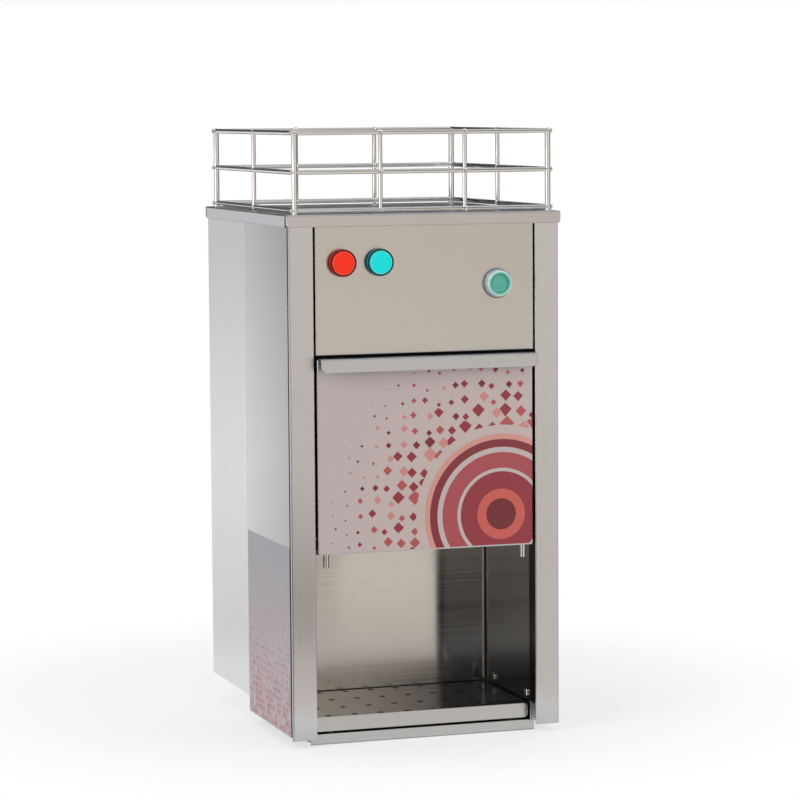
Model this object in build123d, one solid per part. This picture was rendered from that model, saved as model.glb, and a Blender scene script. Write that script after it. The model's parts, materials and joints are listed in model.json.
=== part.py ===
"""Automatic pomegranate juicer: steel cabinet, tilting door, rack press and fruit basket."""
import os
from math import acos, cos, pi, radians, sin, tan

from build123d import *

# Cabinet envelope, in millimetres
body_width = 300.0
body_depth = 324.0
body_top = 562.0
sheet = 1.5
seam = 0.4
post_bottom = 8.5
side_bottom = 11.3
rear_bottom = 28.5
front_zone = 170.0
bulkhead_depth = 165.0

# Front posts and inner walls
post_face = 26.5
post_return = 20.0
fold_radius = 1.0
corner_radius = 1.2
hem_depth = 4.0
groove_width = 4.0
groove_depth = 5.0
wall_setback = 3.0
wall_lift = 2.0
wall_flange = 10.0
wall_fold_radius = 3.0
bulkhead_flange = 20.0

# Base pan and its supports
pad_height = 2.0
pad_radius = 10.0
pad_inset = 18.0
base_setback = 14.5
plinth_height = 9.5
plinth_foot = 0.3
base_overlap = 17.0
ear_width = 4.0
ear_reach = 4.0
ear_lap = 1.5
base_side_setback = 12.0
runner_offset = 100.0
runner_width = 4.0
foot_radius = 15.0
foot_top_radius = 11.0
foot_offset = 75.0
foot_inset = 34.0

# Drip tray
pan_gap = 6.0
pan_wall = 1.0
pan_setback = 5.5
pan_back_gap = 5.0
pan_height = 15.8
band_gap = 4.0
band_depth = 10.0
band_lift = 1.8
band_rise = 0.5
band_corner = 5.0
plate_gap = 3.0
plate_thickness = 1.2
plate_front_gap = 0.5
plate_back_gap = 4.5
drip_hole_radius = 3.25
drip_column_pitch = 29.5
drip_row_pitch = 42.5
drip_hole_margin = 5.0

# Top cap and rear housing
cap_overhang = 2.0
cap_skirt = 11.5
cap_edge_radius = 1.6
cap_seam = 3.0
cap_corner = 3.0
rear_flange = 16.5
flange_gap = 1.0
vent_length = 60.0
vent_height = 4.0
vent_pitch = 12.0
vent_rows = 9
vent_offset = 65.0
vent_bottom = 300.0

# Screws and cable gland
screw_radius = 2.0
screw_head_radius = 4.5
screw_head_height = 2.5
screw_head_round = 1.6
wall_screw_inset = 32.0
wall_screw_rise = 7.0
cover_screw_inset = 40.0
cover_screw_rise = 8.5
cover_screw_drop = 6.0
gland_inset = 55.0
gland_height = 72.0
gland_bore = 4.5
gland_thread = 8.0
gland_hex = 12.0
gland_hex_length = 6.0
gland_dome_radius = 10.0
gland_reach = 17.0
gland_inside = 12.0
gland_nut_length = 4.5

# Fruit basket
rail_radius = 2.5
mid_post_radius = 2.3
corner_post_radius = 3.0
rail_bore = 1.4
rail_bore_depth = 6.0
rail_rises = (4.0, 44.0, 85.0)
basket_side_inset = 9.0
basket_inset = 7.0
rail_overrun = 4.5
rail_gap = 0.1

# Control panel, lamps and start button
panel_gap = 2.0
panel_bottom = 416.0
panel_return = 20.0
panel_seat = 14.0
panel_top_flange = 12.0
barrel_radius = 11.0
barrel_clearance = 0.15
lamp_inset = 28.8
lamp_spacing = 41.0
lamp_drop = 49.3
lamp_flange_rim = 0.5
lamp_flange = 2.0
lamp_radius = 14.0
lamp_reach = 8.0
lamp_round = 1.0
lamp_body_length = 40.0
nut_width = 4.0
nut_length = 5.0
button_inset = 41.2
button_drop = 74.5
bezel_radius = 16.0
bezel_flange = 2.0
bezel_length = 28.0
boot_step = 0.5
boot_taper = 2.5
boot_gap = 1.55
boot_reach = 10.5
boot_round = 0.6
button_radius = 9.25
button_reach = 8.0
button_depth = 12.0
button_wall = 2.05
button_round = 1.2
button_slack = 0.1
spring_radius = 5.5
spring_wire = 0.5
spring_pitch = 3.0
spring_end_gap = 0.6
contact_half = 15.0
contact_length = 32.0

# Front door with its lip, pegs and hinge
door_gap = 3.0
door_gap_above = 2.9
door_bottom = 205.5
door_return = 14.0
door_edge_radius = 2.0
door_foot = 12.0
lip_reach = 16.0
lip_height = 14.3
lip_round = 1.2
lip_corner = 6.0
peg_inset = 9.9
peg_depth = 6.0
peg_radius = 3.1
peg_drop = 14.0
peg_neck = 2.0
peg_head = 3.6
peg_head_height = 1.5
hinge_depth = 8.0
hinge_rise = 10.0
pin_radius = 3.0
pin_collar = 5.0
pin_nose = 2.5
running_clearance = 0.05
side_clearance = 0.3
mid_rail_depth = 20.0
mid_rail_height = 18.0
magnet_radius = 7.0
magnet_offset = 90.0
magnet_drop = 10.0
magnet_gap = 0.5

# Press chamber
press_depth = 92.0
floor_front = 26.0
floor_rise = 4.5
floor_sheet = 2.0
floor_flange = 16.0
floor_lip = 10.0
funnel_sheet = 1.5
funnel_mouth = 49.0
funnel_depth = 14.0
funnel_clearance = 1.2
funnel_seat = 10.0
spout_bore = 7.0
spout_wall = 1.8
spout_length = 9.0
bowl_inset = 4.0
bowl_flange_height = 3.5
bowl_ledge = 4.0
bowl_wall = 4.0
bowl_well = 32.0
bowl_skirt_inset = 2.0
bowl_skirt_taper = 8.0
bowl_height = 44.5
bowl_floor_rise = 12.5
bowl_floor_thickness = 4.0
bowl_hole_radius = 1.7
bowl_hole_ring = 8.0
bowl_hole_rings = 3

# Press plate, ram and guide
press_plate_front = 28.0
press_plate_gap = 5.0
press_plate_thickness = 8.0
bracket_leg = 20.0
bracket_thickness = 3.0
bracket_front = 40.0
bracket_back_gap = 10.0
press_travel = 90.0
ram_half = 13.0
ram_overrun = 19.0
head_clearance = 7.0
head_gap = 6.0
head_crown_radius = 20.0
head_crown_rise = 2.0
head_cheek_radius = 35.0
head_cheek_rise = 8.0
head_dome = 17.0
head_side = 13.0
head_taper = 4.5
head_neck = 8.5
head_boss = 22.0
head_notch_width = 5.0
head_notch_height = 11.0
head_notch_start = 24.0
head_notch_count = 8
spigot_radius = 8.0
spigot_length = 20.0
guide_clearance = 0.1
guide_neck = 20.0
guide_flange = 32.0
guide_flange_height = 10.0
mast_width = 6.0
mast_depth = 14.0
mast_setback = 4.0
lug_reach = 5.0
lug_depth = 8.0
lug_height = 10.0
lug_drop = 4.0
switch_width = 16.0
switch_depth = 12.0
switch_height = 28.0
switch_gap = 0.5
lever_thickness = 1.5
lever_height = 20.0

# Gear train
pressure_angle = radians(20.0)
rack_module = 3.0
pinion_teeth = 16
train_module = 2.5
final_teeth = 36
idler_teeth = 20
drive_teeth = 16
addendum = 0.9
dedendum = 1.25
backlash = 0.35
flank_steps = 4
spare_rack_teeth = 2
shaft_rise = 50.0
shaft_radius = 10.0
shaft_overrun = 6.0
pinion_half_width = 12.0
gear_offset = 14.0
gear_width = 16.0
gear_window_radius = 8.0
gear_window_ring = 26.0
gear_windows = 6
bearing_gap = 4.0
bearing_width = 20.0
bearing_base_half = 30.0
bearing_base_height = 12.0
bearing_radius = 22.0
bush_wall = 4.0
slot_half_height = 36.0
slot_margin = 6.0
gear_plate_left = 62.0
gear_plate_thickness = 6.0
gear_plate_margin = 6.0
gear_plate_half_height = 55.0
gear_plate_foot = 38.0
stub_radius = 8.0
stub_thread = 6.0
stub_collar = 12.0
stub_head = 11.0
stub_head_length = 4.0
axial_gap = 0.5
output_radius = 7.0
output_depth = 17.0
output_overrun = 2.0
gearbox_length = 70.0
gearbox_half = 45.0
gearbox_round = 6.0
gearbox_boss = 18.0
gearbox_boss_length = 10.0
motor_radius = 38.0
motor_length = 114.0
motor_bell_radius = 34.0
motor_bell_length = 8.0

# Control box
box_left = -100.0
box_width = 120.0
box_depth = 60.0
box_bottom = 110.0
box_height = 150.0
box_round = 4.0

# Cabinet positions that follow from the sizes above
half = body_width / 2
front = -body_depth / 2
back = body_depth / 2
skin = half - sheet
post_edge = half - post_face
wall_face = post_edge + sheet
wall_outside = wall_face + sheet
base_half = wall_outside + sheet
bulkhead_front = front + bulkhead_depth
bulkhead_back = bulkhead_front + sheet
cap_top = body_top + sheet
cap_half_width = half + cap_overhang
gland_x = gland_inset - half
basket_half_width = half - basket_side_inset
basket_front_y = front + basket_inset
basket_back_y = back - basket_inset
rail_heights = [cap_top + rise for rise in rail_rises]

# Tray positions
plinth_top = pad_height + plinth_height
pan_half_width = wall_face - pan_gap
pan_front_y = front + base_setback + pan_setback
pan_back_y = bulkhead_front - pan_back_gap
pan_rim = plinth_top + pan_height
band_half_width = wall_face - band_gap
band_top = pan_rim + plate_thickness + band_rise
wall_bottom = band_top + wall_lift
base_side_top = wall_bottom + base_overlap
wall_screw_height = wall_bottom + wall_screw_rise
wall_screw_rows = (front + wall_screw_inset, bulkhead_front - wall_screw_inset)

# Panel and door positions
panel_half_width = post_edge - panel_gap
panel_hole = barrel_radius + barrel_clearance
lamp_places = (lamp_inset - panel_half_width, lamp_inset + lamp_spacing - panel_half_width)
lamp_height = body_top - lamp_drop
button_x = panel_half_width - button_inset
button_height = body_top - button_drop
door_half_width = post_edge - door_gap
door_top = panel_bottom - door_gap_above
peg_x = door_half_width - peg_inset
hinge_y = front + hinge_depth
hinge_z = door_bottom + hinge_rise
mid_rail_front = front + post_return

# Press positions
press_y = front + press_depth
floor_bottom = hinge_z + floor_rise
floor_top = floor_bottom + floor_sheet
floor_hole = funnel_mouth + spout_wall + funnel_clearance
funnel_flange = floor_hole + funnel_seat
spout_top = floor_bottom - funnel_depth
bowl_base = floor_top + funnel_sheet
bowl_flange = funnel_flange - bowl_inset
bowl_radius = bowl_flange - bowl_ledge
bowl_mouth = bowl_radius - bowl_wall
press_plate_top = panel_bottom - mid_rail_height - press_plate_gap
press_plate_bottom = press_plate_top - press_plate_thickness
guide_top = press_plate_top + guide_flange_height
head_radius = bowl_mouth - head_gap
head_top = press_plate_bottom - head_clearance

# Drive positions
shaft_height = press_plate_top + shaft_rise
ram_top = shaft_height + press_travel + ram_overrun
rack_pitch_y = press_y + ram_half - addendum * rack_module
shaft_y = rack_pitch_y + rack_module * pinion_teeth / 2
idler_y = shaft_y + train_module * (final_teeth + idler_teeth) / 2
motor_y = idler_y + train_module * (idler_teeth + drive_teeth) / 2
gear_plate_right = gear_plate_left + gear_plate_thickness
gear_left = gear_plate_right + gear_offset
gear_right = gear_left + gear_width
bearing_x = guide_flange + bearing_gap + bearing_width / 2
bush_radius = shaft_radius + bush_wall
switch_right = -ram_half - lug_reach - switch_gap - lever_thickness
mast_front = press_y - ram_half + mast_setback


def block(x_span, y_span, z_span):
    """Box between low and high values on each axis."""
    width = x_span[1] - x_span[0]
    depth = y_span[1] - y_span[0]
    height = z_span[1] - z_span[0]
    corner = Pos(x_span[0], y_span[0], z_span[0])
    return corner * Box(width, depth, height, align=(Align.MIN, Align.MIN, Align.MIN))


def rod_x(radius, x_span, y, z):
    """Round rod along X."""
    rod = Cylinder(radius, x_span[1] - x_span[0], align=(Align.CENTER, Align.CENTER, Align.MIN))
    return Pos(x_span[0], y, z) * Rot(0, 90, 0) * rod


def rod_y(radius, x, y_span, z):
    """Round rod along Y."""
    rod = Cylinder(radius, y_span[1] - y_span[0], align=(Align.CENTER, Align.CENTER, Align.MIN))
    return Pos(x, y_span[0], z) * Rot(-90, 0, 0) * rod


def rod_z(radius, x, y, z_span):
    """Round rod along Z."""
    rod = Cylinder(radius, z_span[1] - z_span[0], align=(Align.CENTER, Align.CENTER, Align.MIN))
    return Pos(x, y, z_span[0]) * rod


def turned_y(profile, x, z):
    """Turned piece about an axis along Y, from radius and Y pairs."""
    face = make_face(Polyline(*profile, close=True))
    return Pos(x, 0, z) * revolve(face, axis=Axis.Y)


def turned_z(profile, x, y):
    """Turned piece about an axis along Z, from radius and Z pairs."""
    face = Plane.XZ * make_face(Polyline(*profile, close=True))
    return Pos(x, y, 0) * revolve(face, axis=Axis.Z)


def mirrored(piece):
    """The same piece on the other side of the middle plane."""
    return mirror(piece, about=Plane.YZ)


def group(*pieces):
    """Several separate solids kept as one node."""
    solids = []
    for piece in pieces:
        solids.extend(piece.solids())
    return Compound(solids)


def both_sides(near, far):
    """Low and high X of a strip, on the left and on the right."""
    return ((-far, -near), (near, far))


def near_edge(piece, axis, point):
    """The edge along one axis whose middle lies nearest a point."""
    return piece.edges().filter_by(axis).sort_by_distance(point)[0]


def base_pan():
    """Folded pan with plinth front, end ears, side upstands and tray runners."""
    x_span = (-wall_outside, wall_outside)
    y_span = (front + base_setback, bulkhead_front)
    front_wall = (y_span[0], y_span[0] + sheet)
    back_wall = (y_span[1] - sheet, y_span[1])
    pan = block(x_span, y_span, (pad_height, pad_height + sheet))
    pan += block(x_span, front_wall, (plinth_foot, plinth_top))
    pan += block(x_span, back_wall, (pad_height, plinth_top))
    side_y = (y_span[0] + base_side_setback, y_span[1])
    for wall in both_sides(wall_outside, base_half):
        pan += block(wall, side_y, (pad_height, base_side_top))
    for ear in both_sides(base_half - ear_width, base_half + ear_reach):
        pan += block(ear, front_wall, (plinth_top - ear_lap, band_top))
    for runner in both_sides(runner_offset, runner_offset + runner_width):
        pan += block(runner, (front_wall[1], back_wall[0]), (pad_height, plinth_top))
    return pan - wall_screw_shanks()


def base_pads():
    """Four thin rubber pads under the base pan."""
    x = base_half - pad_inset
    rows = (front + base_setback + pad_inset, bulkhead_front - pad_inset)
    pads = [rod_z(pad_radius, side * x, y, (0, pad_height)) for side in (-1, 1) for y in rows]
    return group(*pads)


def rear_feet():
    """Two tapered rubber feet under the rear housing."""
    profile = ((0, 0), (foot_radius, 0), (foot_top_radius, rear_bottom), (0, rear_bottom))
    feet = [turned_z(profile, side * foot_offset, back - foot_inset) for side in (-1, 1)]
    return group(*feet)


def right_post():
    """Folded front post with an inner and an outer return."""
    post = block((post_edge, half), (front, front + sheet), (post_bottom, body_top))
    post += block((post_edge, wall_face), (front, front + post_return), (wall_bottom, body_top))
    post += block((skin, half), (front, front + hem_depth), (post_bottom, body_top))
    groove_x = (skin - groove_depth - sheet, skin - groove_depth)
    post += block(groove_x, (front, front + post_return), (side_bottom, body_top))
    middle = (post_bottom + body_top) / 2
    post = fillet(near_edge(post, Axis.Z, (post_edge, front, middle)), fold_radius)
    post = fillet(near_edge(post, Axis.Z, (half, front, middle)), corner_radius)
    return post - rod_x(pin_radius, (post_edge, wall_face), hinge_y, hinge_z)


def right_side_panel():
    """Outer sheet beside the press and the glass bay, folded inwards against the post."""
    y_span = (front + hem_depth + groove_width, front + front_zone)
    z_span = (side_bottom, body_top)
    panel = block((skin, half), y_span, z_span)
    return panel + block((skin - groove_depth, skin), (y_span[0], y_span[0] + sheet), z_span)


def right_inner_wall():
    """Wall of the glass bay and press chamber, folded outwards where it meets the bulkhead."""
    y_span = (front + wall_setback, bulkhead_front)
    flange_x = (wall_face, wall_outside + wall_flange)
    flange_y = (bulkhead_front - sheet, bulkhead_front)
    wall = block((wall_face, wall_outside), y_span, (wall_bottom, body_top))
    wall += block(flange_x, flange_y, (base_side_top + flange_gap, body_top))
    middle = (wall_bottom + body_top) / 2
    wall = fillet(near_edge(wall, Axis.Z, (wall_face, bulkhead_front, middle)), wall_fold_radius)
    return wall - wall_screw_shanks()


def bulkhead():
    """Cross wall between the press side and the rear housing, with a slot for the gears."""
    wall = block((-skin, skin), (bulkhead_front, bulkhead_back), (side_bottom, body_top))
    flange_y = (bulkhead_front, bulkhead_front + bulkhead_flange)
    flange_z = (rear_bottom + rear_flange + flange_gap, body_top)
    for flange in both_sides(skin - sheet, skin):
        wall += block(flange, flange_y, flange_z)
    slot_x = (gear_left - slot_margin, gear_right + slot_margin)
    slot_z = (shaft_height - slot_half_height, shaft_height + slot_half_height)
    return wall - block(slot_x, (bulkhead_front, bulkhead_back), slot_z)


def rear_floor():
    """Bottom of the rear housing with upturned edges."""
    y_span = (bulkhead_back, back - sheet)
    z_span = (rear_bottom, rear_bottom + rear_flange)
    floor = block((-skin, skin), y_span, (rear_bottom, rear_bottom + sheet))
    floor += block((-skin, skin), (y_span[1] - sheet, y_span[1]), z_span)
    for flange in both_sides(skin - sheet, skin):
        floor += block(flange, y_span, z_span)
    return floor - cover_screw_shanks()


def rear_housing():
    """Sheet wrapped round the drive, with vents and the cable hole in its back."""
    z_span = (rear_bottom, body_top)
    y_front = front + front_zone + seam
    housing = block((-half, half), (y_front, back), z_span)
    middle = (rear_bottom + body_top) / 2
    for side in (-1, 1):
        housing = fillet(near_edge(housing, Axis.Z, (side * half, back, middle)), fold_radius)
    housing -= block((-skin, skin), (y_front, back - sheet), z_span)
    through = (back - sheet, back)
    for row in range(vent_rows):
        z = vent_bottom + row * vent_pitch
        for x_span in both_sides(vent_offset - vent_length / 2, vent_offset + vent_length / 2):
            housing -= block(x_span, through, (z, z + vent_height))
    housing -= rod_y(gland_thread, gland_x, through, gland_height)
    return housing - cover_screw_shanks()


def top_cap():
    """Folded lid with a short skirt, open at the corners over the grooves of the posts."""
    y_span = (front - cap_overhang, back + cap_overhang)
    z_span = (body_top - cap_skirt, body_top)
    cap = block((-cap_half_width, cap_half_width), y_span, (z_span[0], cap_top))
    cap = fillet(cap.faces().sort_by(Axis.Z)[-1].edges(), cap_edge_radius)
    inside_x = cap_half_width - sheet
    inside_y = (y_span[0] + sheet, y_span[1] - sheet)
    cap -= block((-inside_x, inside_x), inside_y, z_span)
    groove_y = (front + hem_depth, front + hem_depth + groove_width)
    for skirt in both_sides(inside_x, cap_half_width):
        cap -= block(skirt, groove_y, z_span)
        cap -= block(skirt, (inside_y[1] - cap_seam, inside_y[1]), z_span)
    for side in (-1, 1):
        for y in y_span:
            cap = fillet(near_edge(cap, Axis.Y, (side * cap_half_width, y, z_span[0])), cap_corner)
    return cap - cover_screw_shanks()


def long_grille(y):
    """Front or back grille of the basket: rails, corner posts and two posts between."""
    reach = basket_half_width + rail_overrun
    bay = basket_half_width / 3
    corner = (cap_top, rail_heights[-1])
    between = (rail_heights[0], rail_heights[-1])
    pieces = [rod_x(rail_radius, (-reach, reach), y, z) for z in rail_heights]
    pieces += [rod_z(corner_post_radius, side * basket_half_width, y, corner) for side in (-1, 1)]
    pieces += [rod_z(mid_post_radius, side * bay, y, between) for side in (-1, 1)]
    grille = pieces[0].fuse(*pieces[1:])
    for z in rail_heights:
        for bore in both_sides(reach - rail_bore_depth, reach):
            grille -= rod_x(rail_bore, bore, y, z)
    return grille


def right_grille():
    """Side grille of the basket between the corner posts."""
    gap = corner_post_radius + rail_gap
    y_span = (basket_front_y + gap, basket_back_y - gap)
    between = (rail_heights[0], rail_heights[-1])
    rails = [rod_y(rail_radius, basket_half_width, y_span, z) for z in rail_heights]
    post = rod_z(mid_post_radius, basket_half_width, (y_span[0] + y_span[1]) / 2, between)
    return post.fuse(*rails)


def control_panel():
    """Folded panel with holes for the lamps and the button."""
    x_span = (-panel_half_width, panel_half_width)
    seat_y = (front, mid_rail_front + panel_seat)
    panel = block(x_span, (front, front + sheet), (panel_bottom, body_top))
    panel += block(x_span, seat_y, (panel_bottom, panel_bottom + sheet))
    panel += block(x_span, (front, front + panel_top_flange), (body_top - sheet, body_top))
    for flange in both_sides(panel_half_width - sheet, panel_half_width):
        panel += block(flange, (front, front + panel_return), (panel_bottom, body_top))
    middle = (panel_bottom + body_top) / 2
    for side in (-1, 1):
        panel = fillet(near_edge(panel, Axis.Z, (side * panel_half_width, front, middle)), fold_radius)
    panel = fillet(near_edge(panel, Axis.X, (0, front, panel_bottom)), fold_radius)
    through = (front, front + sheet)
    for x in lamp_places:
        panel -= rod_y(panel_hole, x, through, lamp_height)
    return panel - rod_y(panel_hole, button_x, through, button_height)


def lamp_lens(x):
    """Flanged lens of a pilot lamp with a rounded face."""
    lens = rod_y(lamp_radius, x, (front - lamp_reach, front - lamp_flange), lamp_height)
    lens = fillet(lens.edges().sort_by(Axis.Y)[0], lamp_round)
    return lens + rod_y(lamp_radius + lamp_flange_rim, x, (front - lamp_flange, front), lamp_height)


def lamp_bodies():
    """Barrels of the two lamps behind the panel."""
    span = (front, front + lamp_body_length)
    return group(*[rod_y(barrel_radius, x, span, lamp_height) for x in lamp_places])


def panel_nuts():
    """Ring nuts that hold the lamps and the button to the panel."""
    span = (front + sheet, front + sheet + nut_length)
    places = [(x, lamp_height) for x in lamp_places] + [(button_x, button_height)]
    nuts = []
    for x, z in places:
        nut = rod_y(barrel_radius + nut_width, x, span, z)
        nuts.append(nut - rod_y(barrel_radius, x, span, z))
    return group(*nuts)


def button_bezel():
    """Flange and barrel that carry the start button."""
    span = (front - bezel_flange, front + bezel_length)
    bezel = rod_y(bezel_radius, button_x, (span[0], front), button_height)
    bezel += rod_y(barrel_radius, button_x, (front, span[1]), button_height)
    return bezel - rod_y(button_radius + button_slack, button_x, span, button_height)


def button_boot():
    """Clear ring round the button, open at its nose."""
    base = front - bezel_flange
    nose = front - boot_reach
    bore = button_radius + boot_gap
    foot = bezel_radius - boot_step
    profile = ((bore, base), (foot, base), (foot - boot_taper, nose), (bore, nose))
    boot = turned_y(profile, button_x, button_height)
    return fillet(boot.edges().group_by(Axis.Y)[0], boot_round)


def button_cap():
    """Pushed disc with a well for its spring."""
    cap = rod_y(button_radius, button_x, (front - button_reach, front + button_depth), button_height)
    cap = fillet(cap.edges().sort_by(Axis.Y)[0], button_round)
    return cap - rod_y(button_radius - button_wall, button_x, (front, front + button_depth), button_height)


def button_spring():
    """Coil spring between the button and its contact block."""
    length = bezel_length - 2 * spring_end_gap - 2 * spring_wire
    coil = Helix(spring_pitch, length, spring_radius)
    wire = sweep(Plane(origin=coil @ 0, z_dir=coil % 0) * Circle(spring_wire), path=coil)
    start = front + spring_end_gap + spring_wire
    return Pos(button_x, start, button_height) * Rot(-90, 0, 0) * wire


def button_contact_block():
    """Switch block behind the button."""
    x_span = (button_x - contact_half, button_x + contact_half)
    y_span = (front + bezel_length, front + bezel_length + contact_length)
    z_span = (button_height - contact_half, button_height + contact_half)
    return block(x_span, y_span, z_span)


def front_door():
    """Folded door with a lip along its top as the pull."""
    x_span = (-door_half_width, door_half_width)
    lip_front = front - lip_reach
    lip_bottom = door_top - lip_height
    door = block(x_span, (front, front + sheet), (door_bottom, door_top))
    door += block(x_span, (front, front + door_foot), (door_bottom, door_bottom + sheet))
    for flange in both_sides(door_half_width - sheet, door_half_width):
        door += block(flange, (front, front + door_return), (door_bottom, lip_bottom))
    middle = (door_bottom + door_top) / 2
    for side in (-1, 1):
        door = fillet(near_edge(door, Axis.Z, (side * door_half_width, front, middle)), door_edge_radius)
    lip = block(x_span, (lip_front, front + sheet), (door_top - sheet, door_top))
    lip += block(x_span, (lip_front, lip_front + sheet), (lip_bottom, door_top))
    for side in (-1, 1):
        lip = fillet(near_edge(lip, Axis.Y, (side * door_half_width, lip_front, lip_bottom)), lip_corner)
    lip = fillet(near_edge(lip, Axis.X, (0, lip_front, door_top)), lip_round)
    door += lip
    neck = (door_bottom, door_bottom + sheet)
    for side, hole in zip((-1, 1), both_sides(door_half_width - sheet, door_half_width)):
        door -= rod_x(pin_radius + running_clearance, hole, hinge_y, hinge_z)
        door -= rod_z(peg_neck, side * peg_x, front + peg_depth, neck)
    return door


def door_pegs():
    """Two riveted stop pegs under the door."""
    low = door_bottom - peg_drop
    inside = door_bottom + sheet
    top = inside + peg_head_height
    profile = ((0, low), (peg_radius, low), (peg_radius, door_bottom), (peg_neck, door_bottom),
               (peg_neck, inside), (peg_head, inside), (peg_head, top), (0, top))
    return group(*[turned_z(profile, side * peg_x, front + peg_depth) for side in (-1, 1)])


def door_hinge_pins():
    """Shoulder pins in the posts that the door swings on."""
    collar = (door_half_width + side_clearance, post_edge)
    nose = (door_half_width - sheet - pin_nose, wall_face)
    pin = rod_x(pin_radius, nose, hinge_y, hinge_z) + rod_x(pin_collar, collar, hinge_y, hinge_z)
    return group(pin, mirrored(pin))


def mid_rail():
    """Cross channel behind the gap between panel and door."""
    x_span = (-wall_face, wall_face)
    web = (mid_rail_front, mid_rail_front + sheet)
    flange = (mid_rail_front, mid_rail_front + mid_rail_depth)
    rail = block(x_span, web, (panel_bottom - mid_rail_height, panel_bottom))
    return rail + block(x_span, flange, (panel_bottom - sheet, panel_bottom))


def door_magnets():
    """Round catch magnets on the mid rail."""
    span = (front + sheet + magnet_gap, mid_rail_front)
    z = panel_bottom - magnet_drop
    return group(*[rod_y(magnet_radius, side * magnet_offset, span, z) for side in (-1, 1)])


def chamber_floor():
    """Floor of the press chamber with a round hole for the funnel."""
    x_span = (-wall_face, wall_face)
    y_span = (front + floor_front, bulkhead_front)
    floor = block(x_span, y_span, (floor_bottom, floor_top))
    floor += block(x_span, (y_span[0], y_span[0] + floor_sheet), (floor_bottom, floor_bottom + floor_lip))
    for flange in both_sides(wall_face - floor_sheet, wall_face):
        floor += block(flange, y_span, (floor_bottom, floor_bottom + floor_flange))
    return floor - rod_z(floor_hole, 0, press_y, (floor_bottom, floor_top))


def juice_funnel():
    """Shallow funnel hung in the chamber floor."""
    top = floor_top + funnel_sheet
    profile = ((funnel_mouth, top), (funnel_flange, top), (funnel_flange, floor_top),
               (funnel_mouth + spout_wall, floor_top), (spout_bore + spout_wall, spout_top),
               (spout_bore, spout_top), (spout_bore, spout_top + funnel_sheet))
    return turned_z(profile, 0, press_y)


def juice_spout():
    """Tube welded under the funnel."""
    z_span = (spout_top - spout_length, spout_top)
    tube = rod_z(spout_bore + spout_wall, 0, press_y, z_span)
    return tube - rod_z(spout_bore, 0, press_y, z_span)


def press_bowl():
    """Strainer bowl that takes half a fruit."""
    ledge = bowl_base + bowl_flange_height
    rim = bowl_base + bowl_height
    well = bowl_base + bowl_floor_rise
    under = well - bowl_floor_thickness
    skirt = funnel_mouth - bowl_skirt_inset
    profile = ((skirt, bowl_base), (bowl_flange, bowl_base), (bowl_flange, ledge), (bowl_radius, ledge),
               (bowl_radius, rim), (bowl_mouth, rim), (bowl_well, well), (0, well),
               (0, under), (skirt - bowl_skirt_taper, under))
    bowl = turned_z(profile, 0, press_y)
    holes = [rod_z(bowl_hole_radius, 0, press_y, (under, well))]
    for ring in range(1, bowl_hole_rings + 1):
        for step in range(6 * ring):
            turn = 2 * pi * step / (6 * ring)
            x = ring * bowl_hole_ring * cos(turn)
            y = press_y + ring * bowl_hole_ring * sin(turn)
            holes.append(rod_z(bowl_hole_radius, x, y, (under, well)))
    return bowl - holes


def press_plate():
    """Thick plate over the chamber that carries the press."""
    z_span = (press_plate_bottom, press_plate_top)
    plate = block((-wall_face, wall_face), (front + press_plate_front, bulkhead_front), z_span)
    return plate - block((-guide_neck, guide_neck), (press_y - guide_neck, press_y + guide_neck), z_span)


def plate_brackets():
    """Angles on the inner walls under the press plate."""
    y_span = (front + bracket_front, bulkhead_front - bracket_back_gap)
    top = press_plate_bottom
    angle = block((wall_face - bracket_leg, wall_face), y_span, (top - bracket_thickness, top))
    angle += block((wall_face - bracket_thickness, wall_face), y_span, (top - bracket_leg, top))
    return group(angle, mirrored(angle))


def ram_guide():
    """Guide block of the ram with a mast for the limit switches."""
    neck_y = (press_y - guide_neck, press_y + guide_neck)
    flange_y = (press_y - guide_flange, press_y + guide_flange)
    guide = block((-guide_neck, guide_neck), neck_y, (press_plate_bottom, press_plate_top))
    guide += block((-guide_flange, guide_flange), flange_y, (press_plate_top, guide_top))
    mast_right = switch_right - (switch_width - mast_width) / 2
    mast_y = (mast_front, mast_front + mast_depth)
    guide += block((mast_right - mast_width, mast_right), mast_y, (guide_top, ram_top))
    bore = ram_half + guide_clearance
    return guide - block((-bore, bore), (press_y - bore, press_y + bore), (press_plate_bottom, guide_top))


def limit_switches():
    """Switches at the top and the bottom of the stroke."""
    body_x = (switch_right - switch_width, switch_right)
    lever_x = (switch_right, switch_right + lever_thickness)
    y_span = (mast_front - switch_depth, mast_front)
    trip_z = ram_top - lug_drop - lug_height / 2
    switches = []
    for z in (trip_z, trip_z - press_travel):
        body = block(body_x, y_span, (z - switch_height / 2, z + switch_height / 2))
        switches.append(body + block(lever_x, y_span, (z - lever_height / 2, z + lever_height / 2)))
    return group(*switches)


def rack_side():
    """Side view of the ram with its rack teeth."""
    pitch = pi * rack_module
    half_gap = (pitch / 2 + backlash) / 2
    half_tip_gap = half_gap + addendum * rack_module * tan(pressure_angle)
    half_root_gap = half_gap - dedendum * rack_module * tan(pressure_angle)
    y_front = press_y - ram_half
    y_tip = press_y + ram_half
    y_root = rack_pitch_y - dedendum * rack_module
    outline = [(y_front, head_top), (y_tip, head_top)]
    last_gap = int(press_travel / pitch) + spare_rack_teeth
    for gap in range(-spare_rack_teeth, last_gap):
        z = shaft_height + (gap + 0.5) * pitch
        outline.append((y_tip, z - half_tip_gap))
        outline.append((y_root, z - half_root_gap))
        outline.append((y_root, z + half_root_gap))
        outline.append((y_tip, z + half_tip_gap))
    outline += [(y_tip, ram_top), (y_front, ram_top)]
    return Plane.YZ * make_face(Polyline(*outline, close=True))


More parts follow.
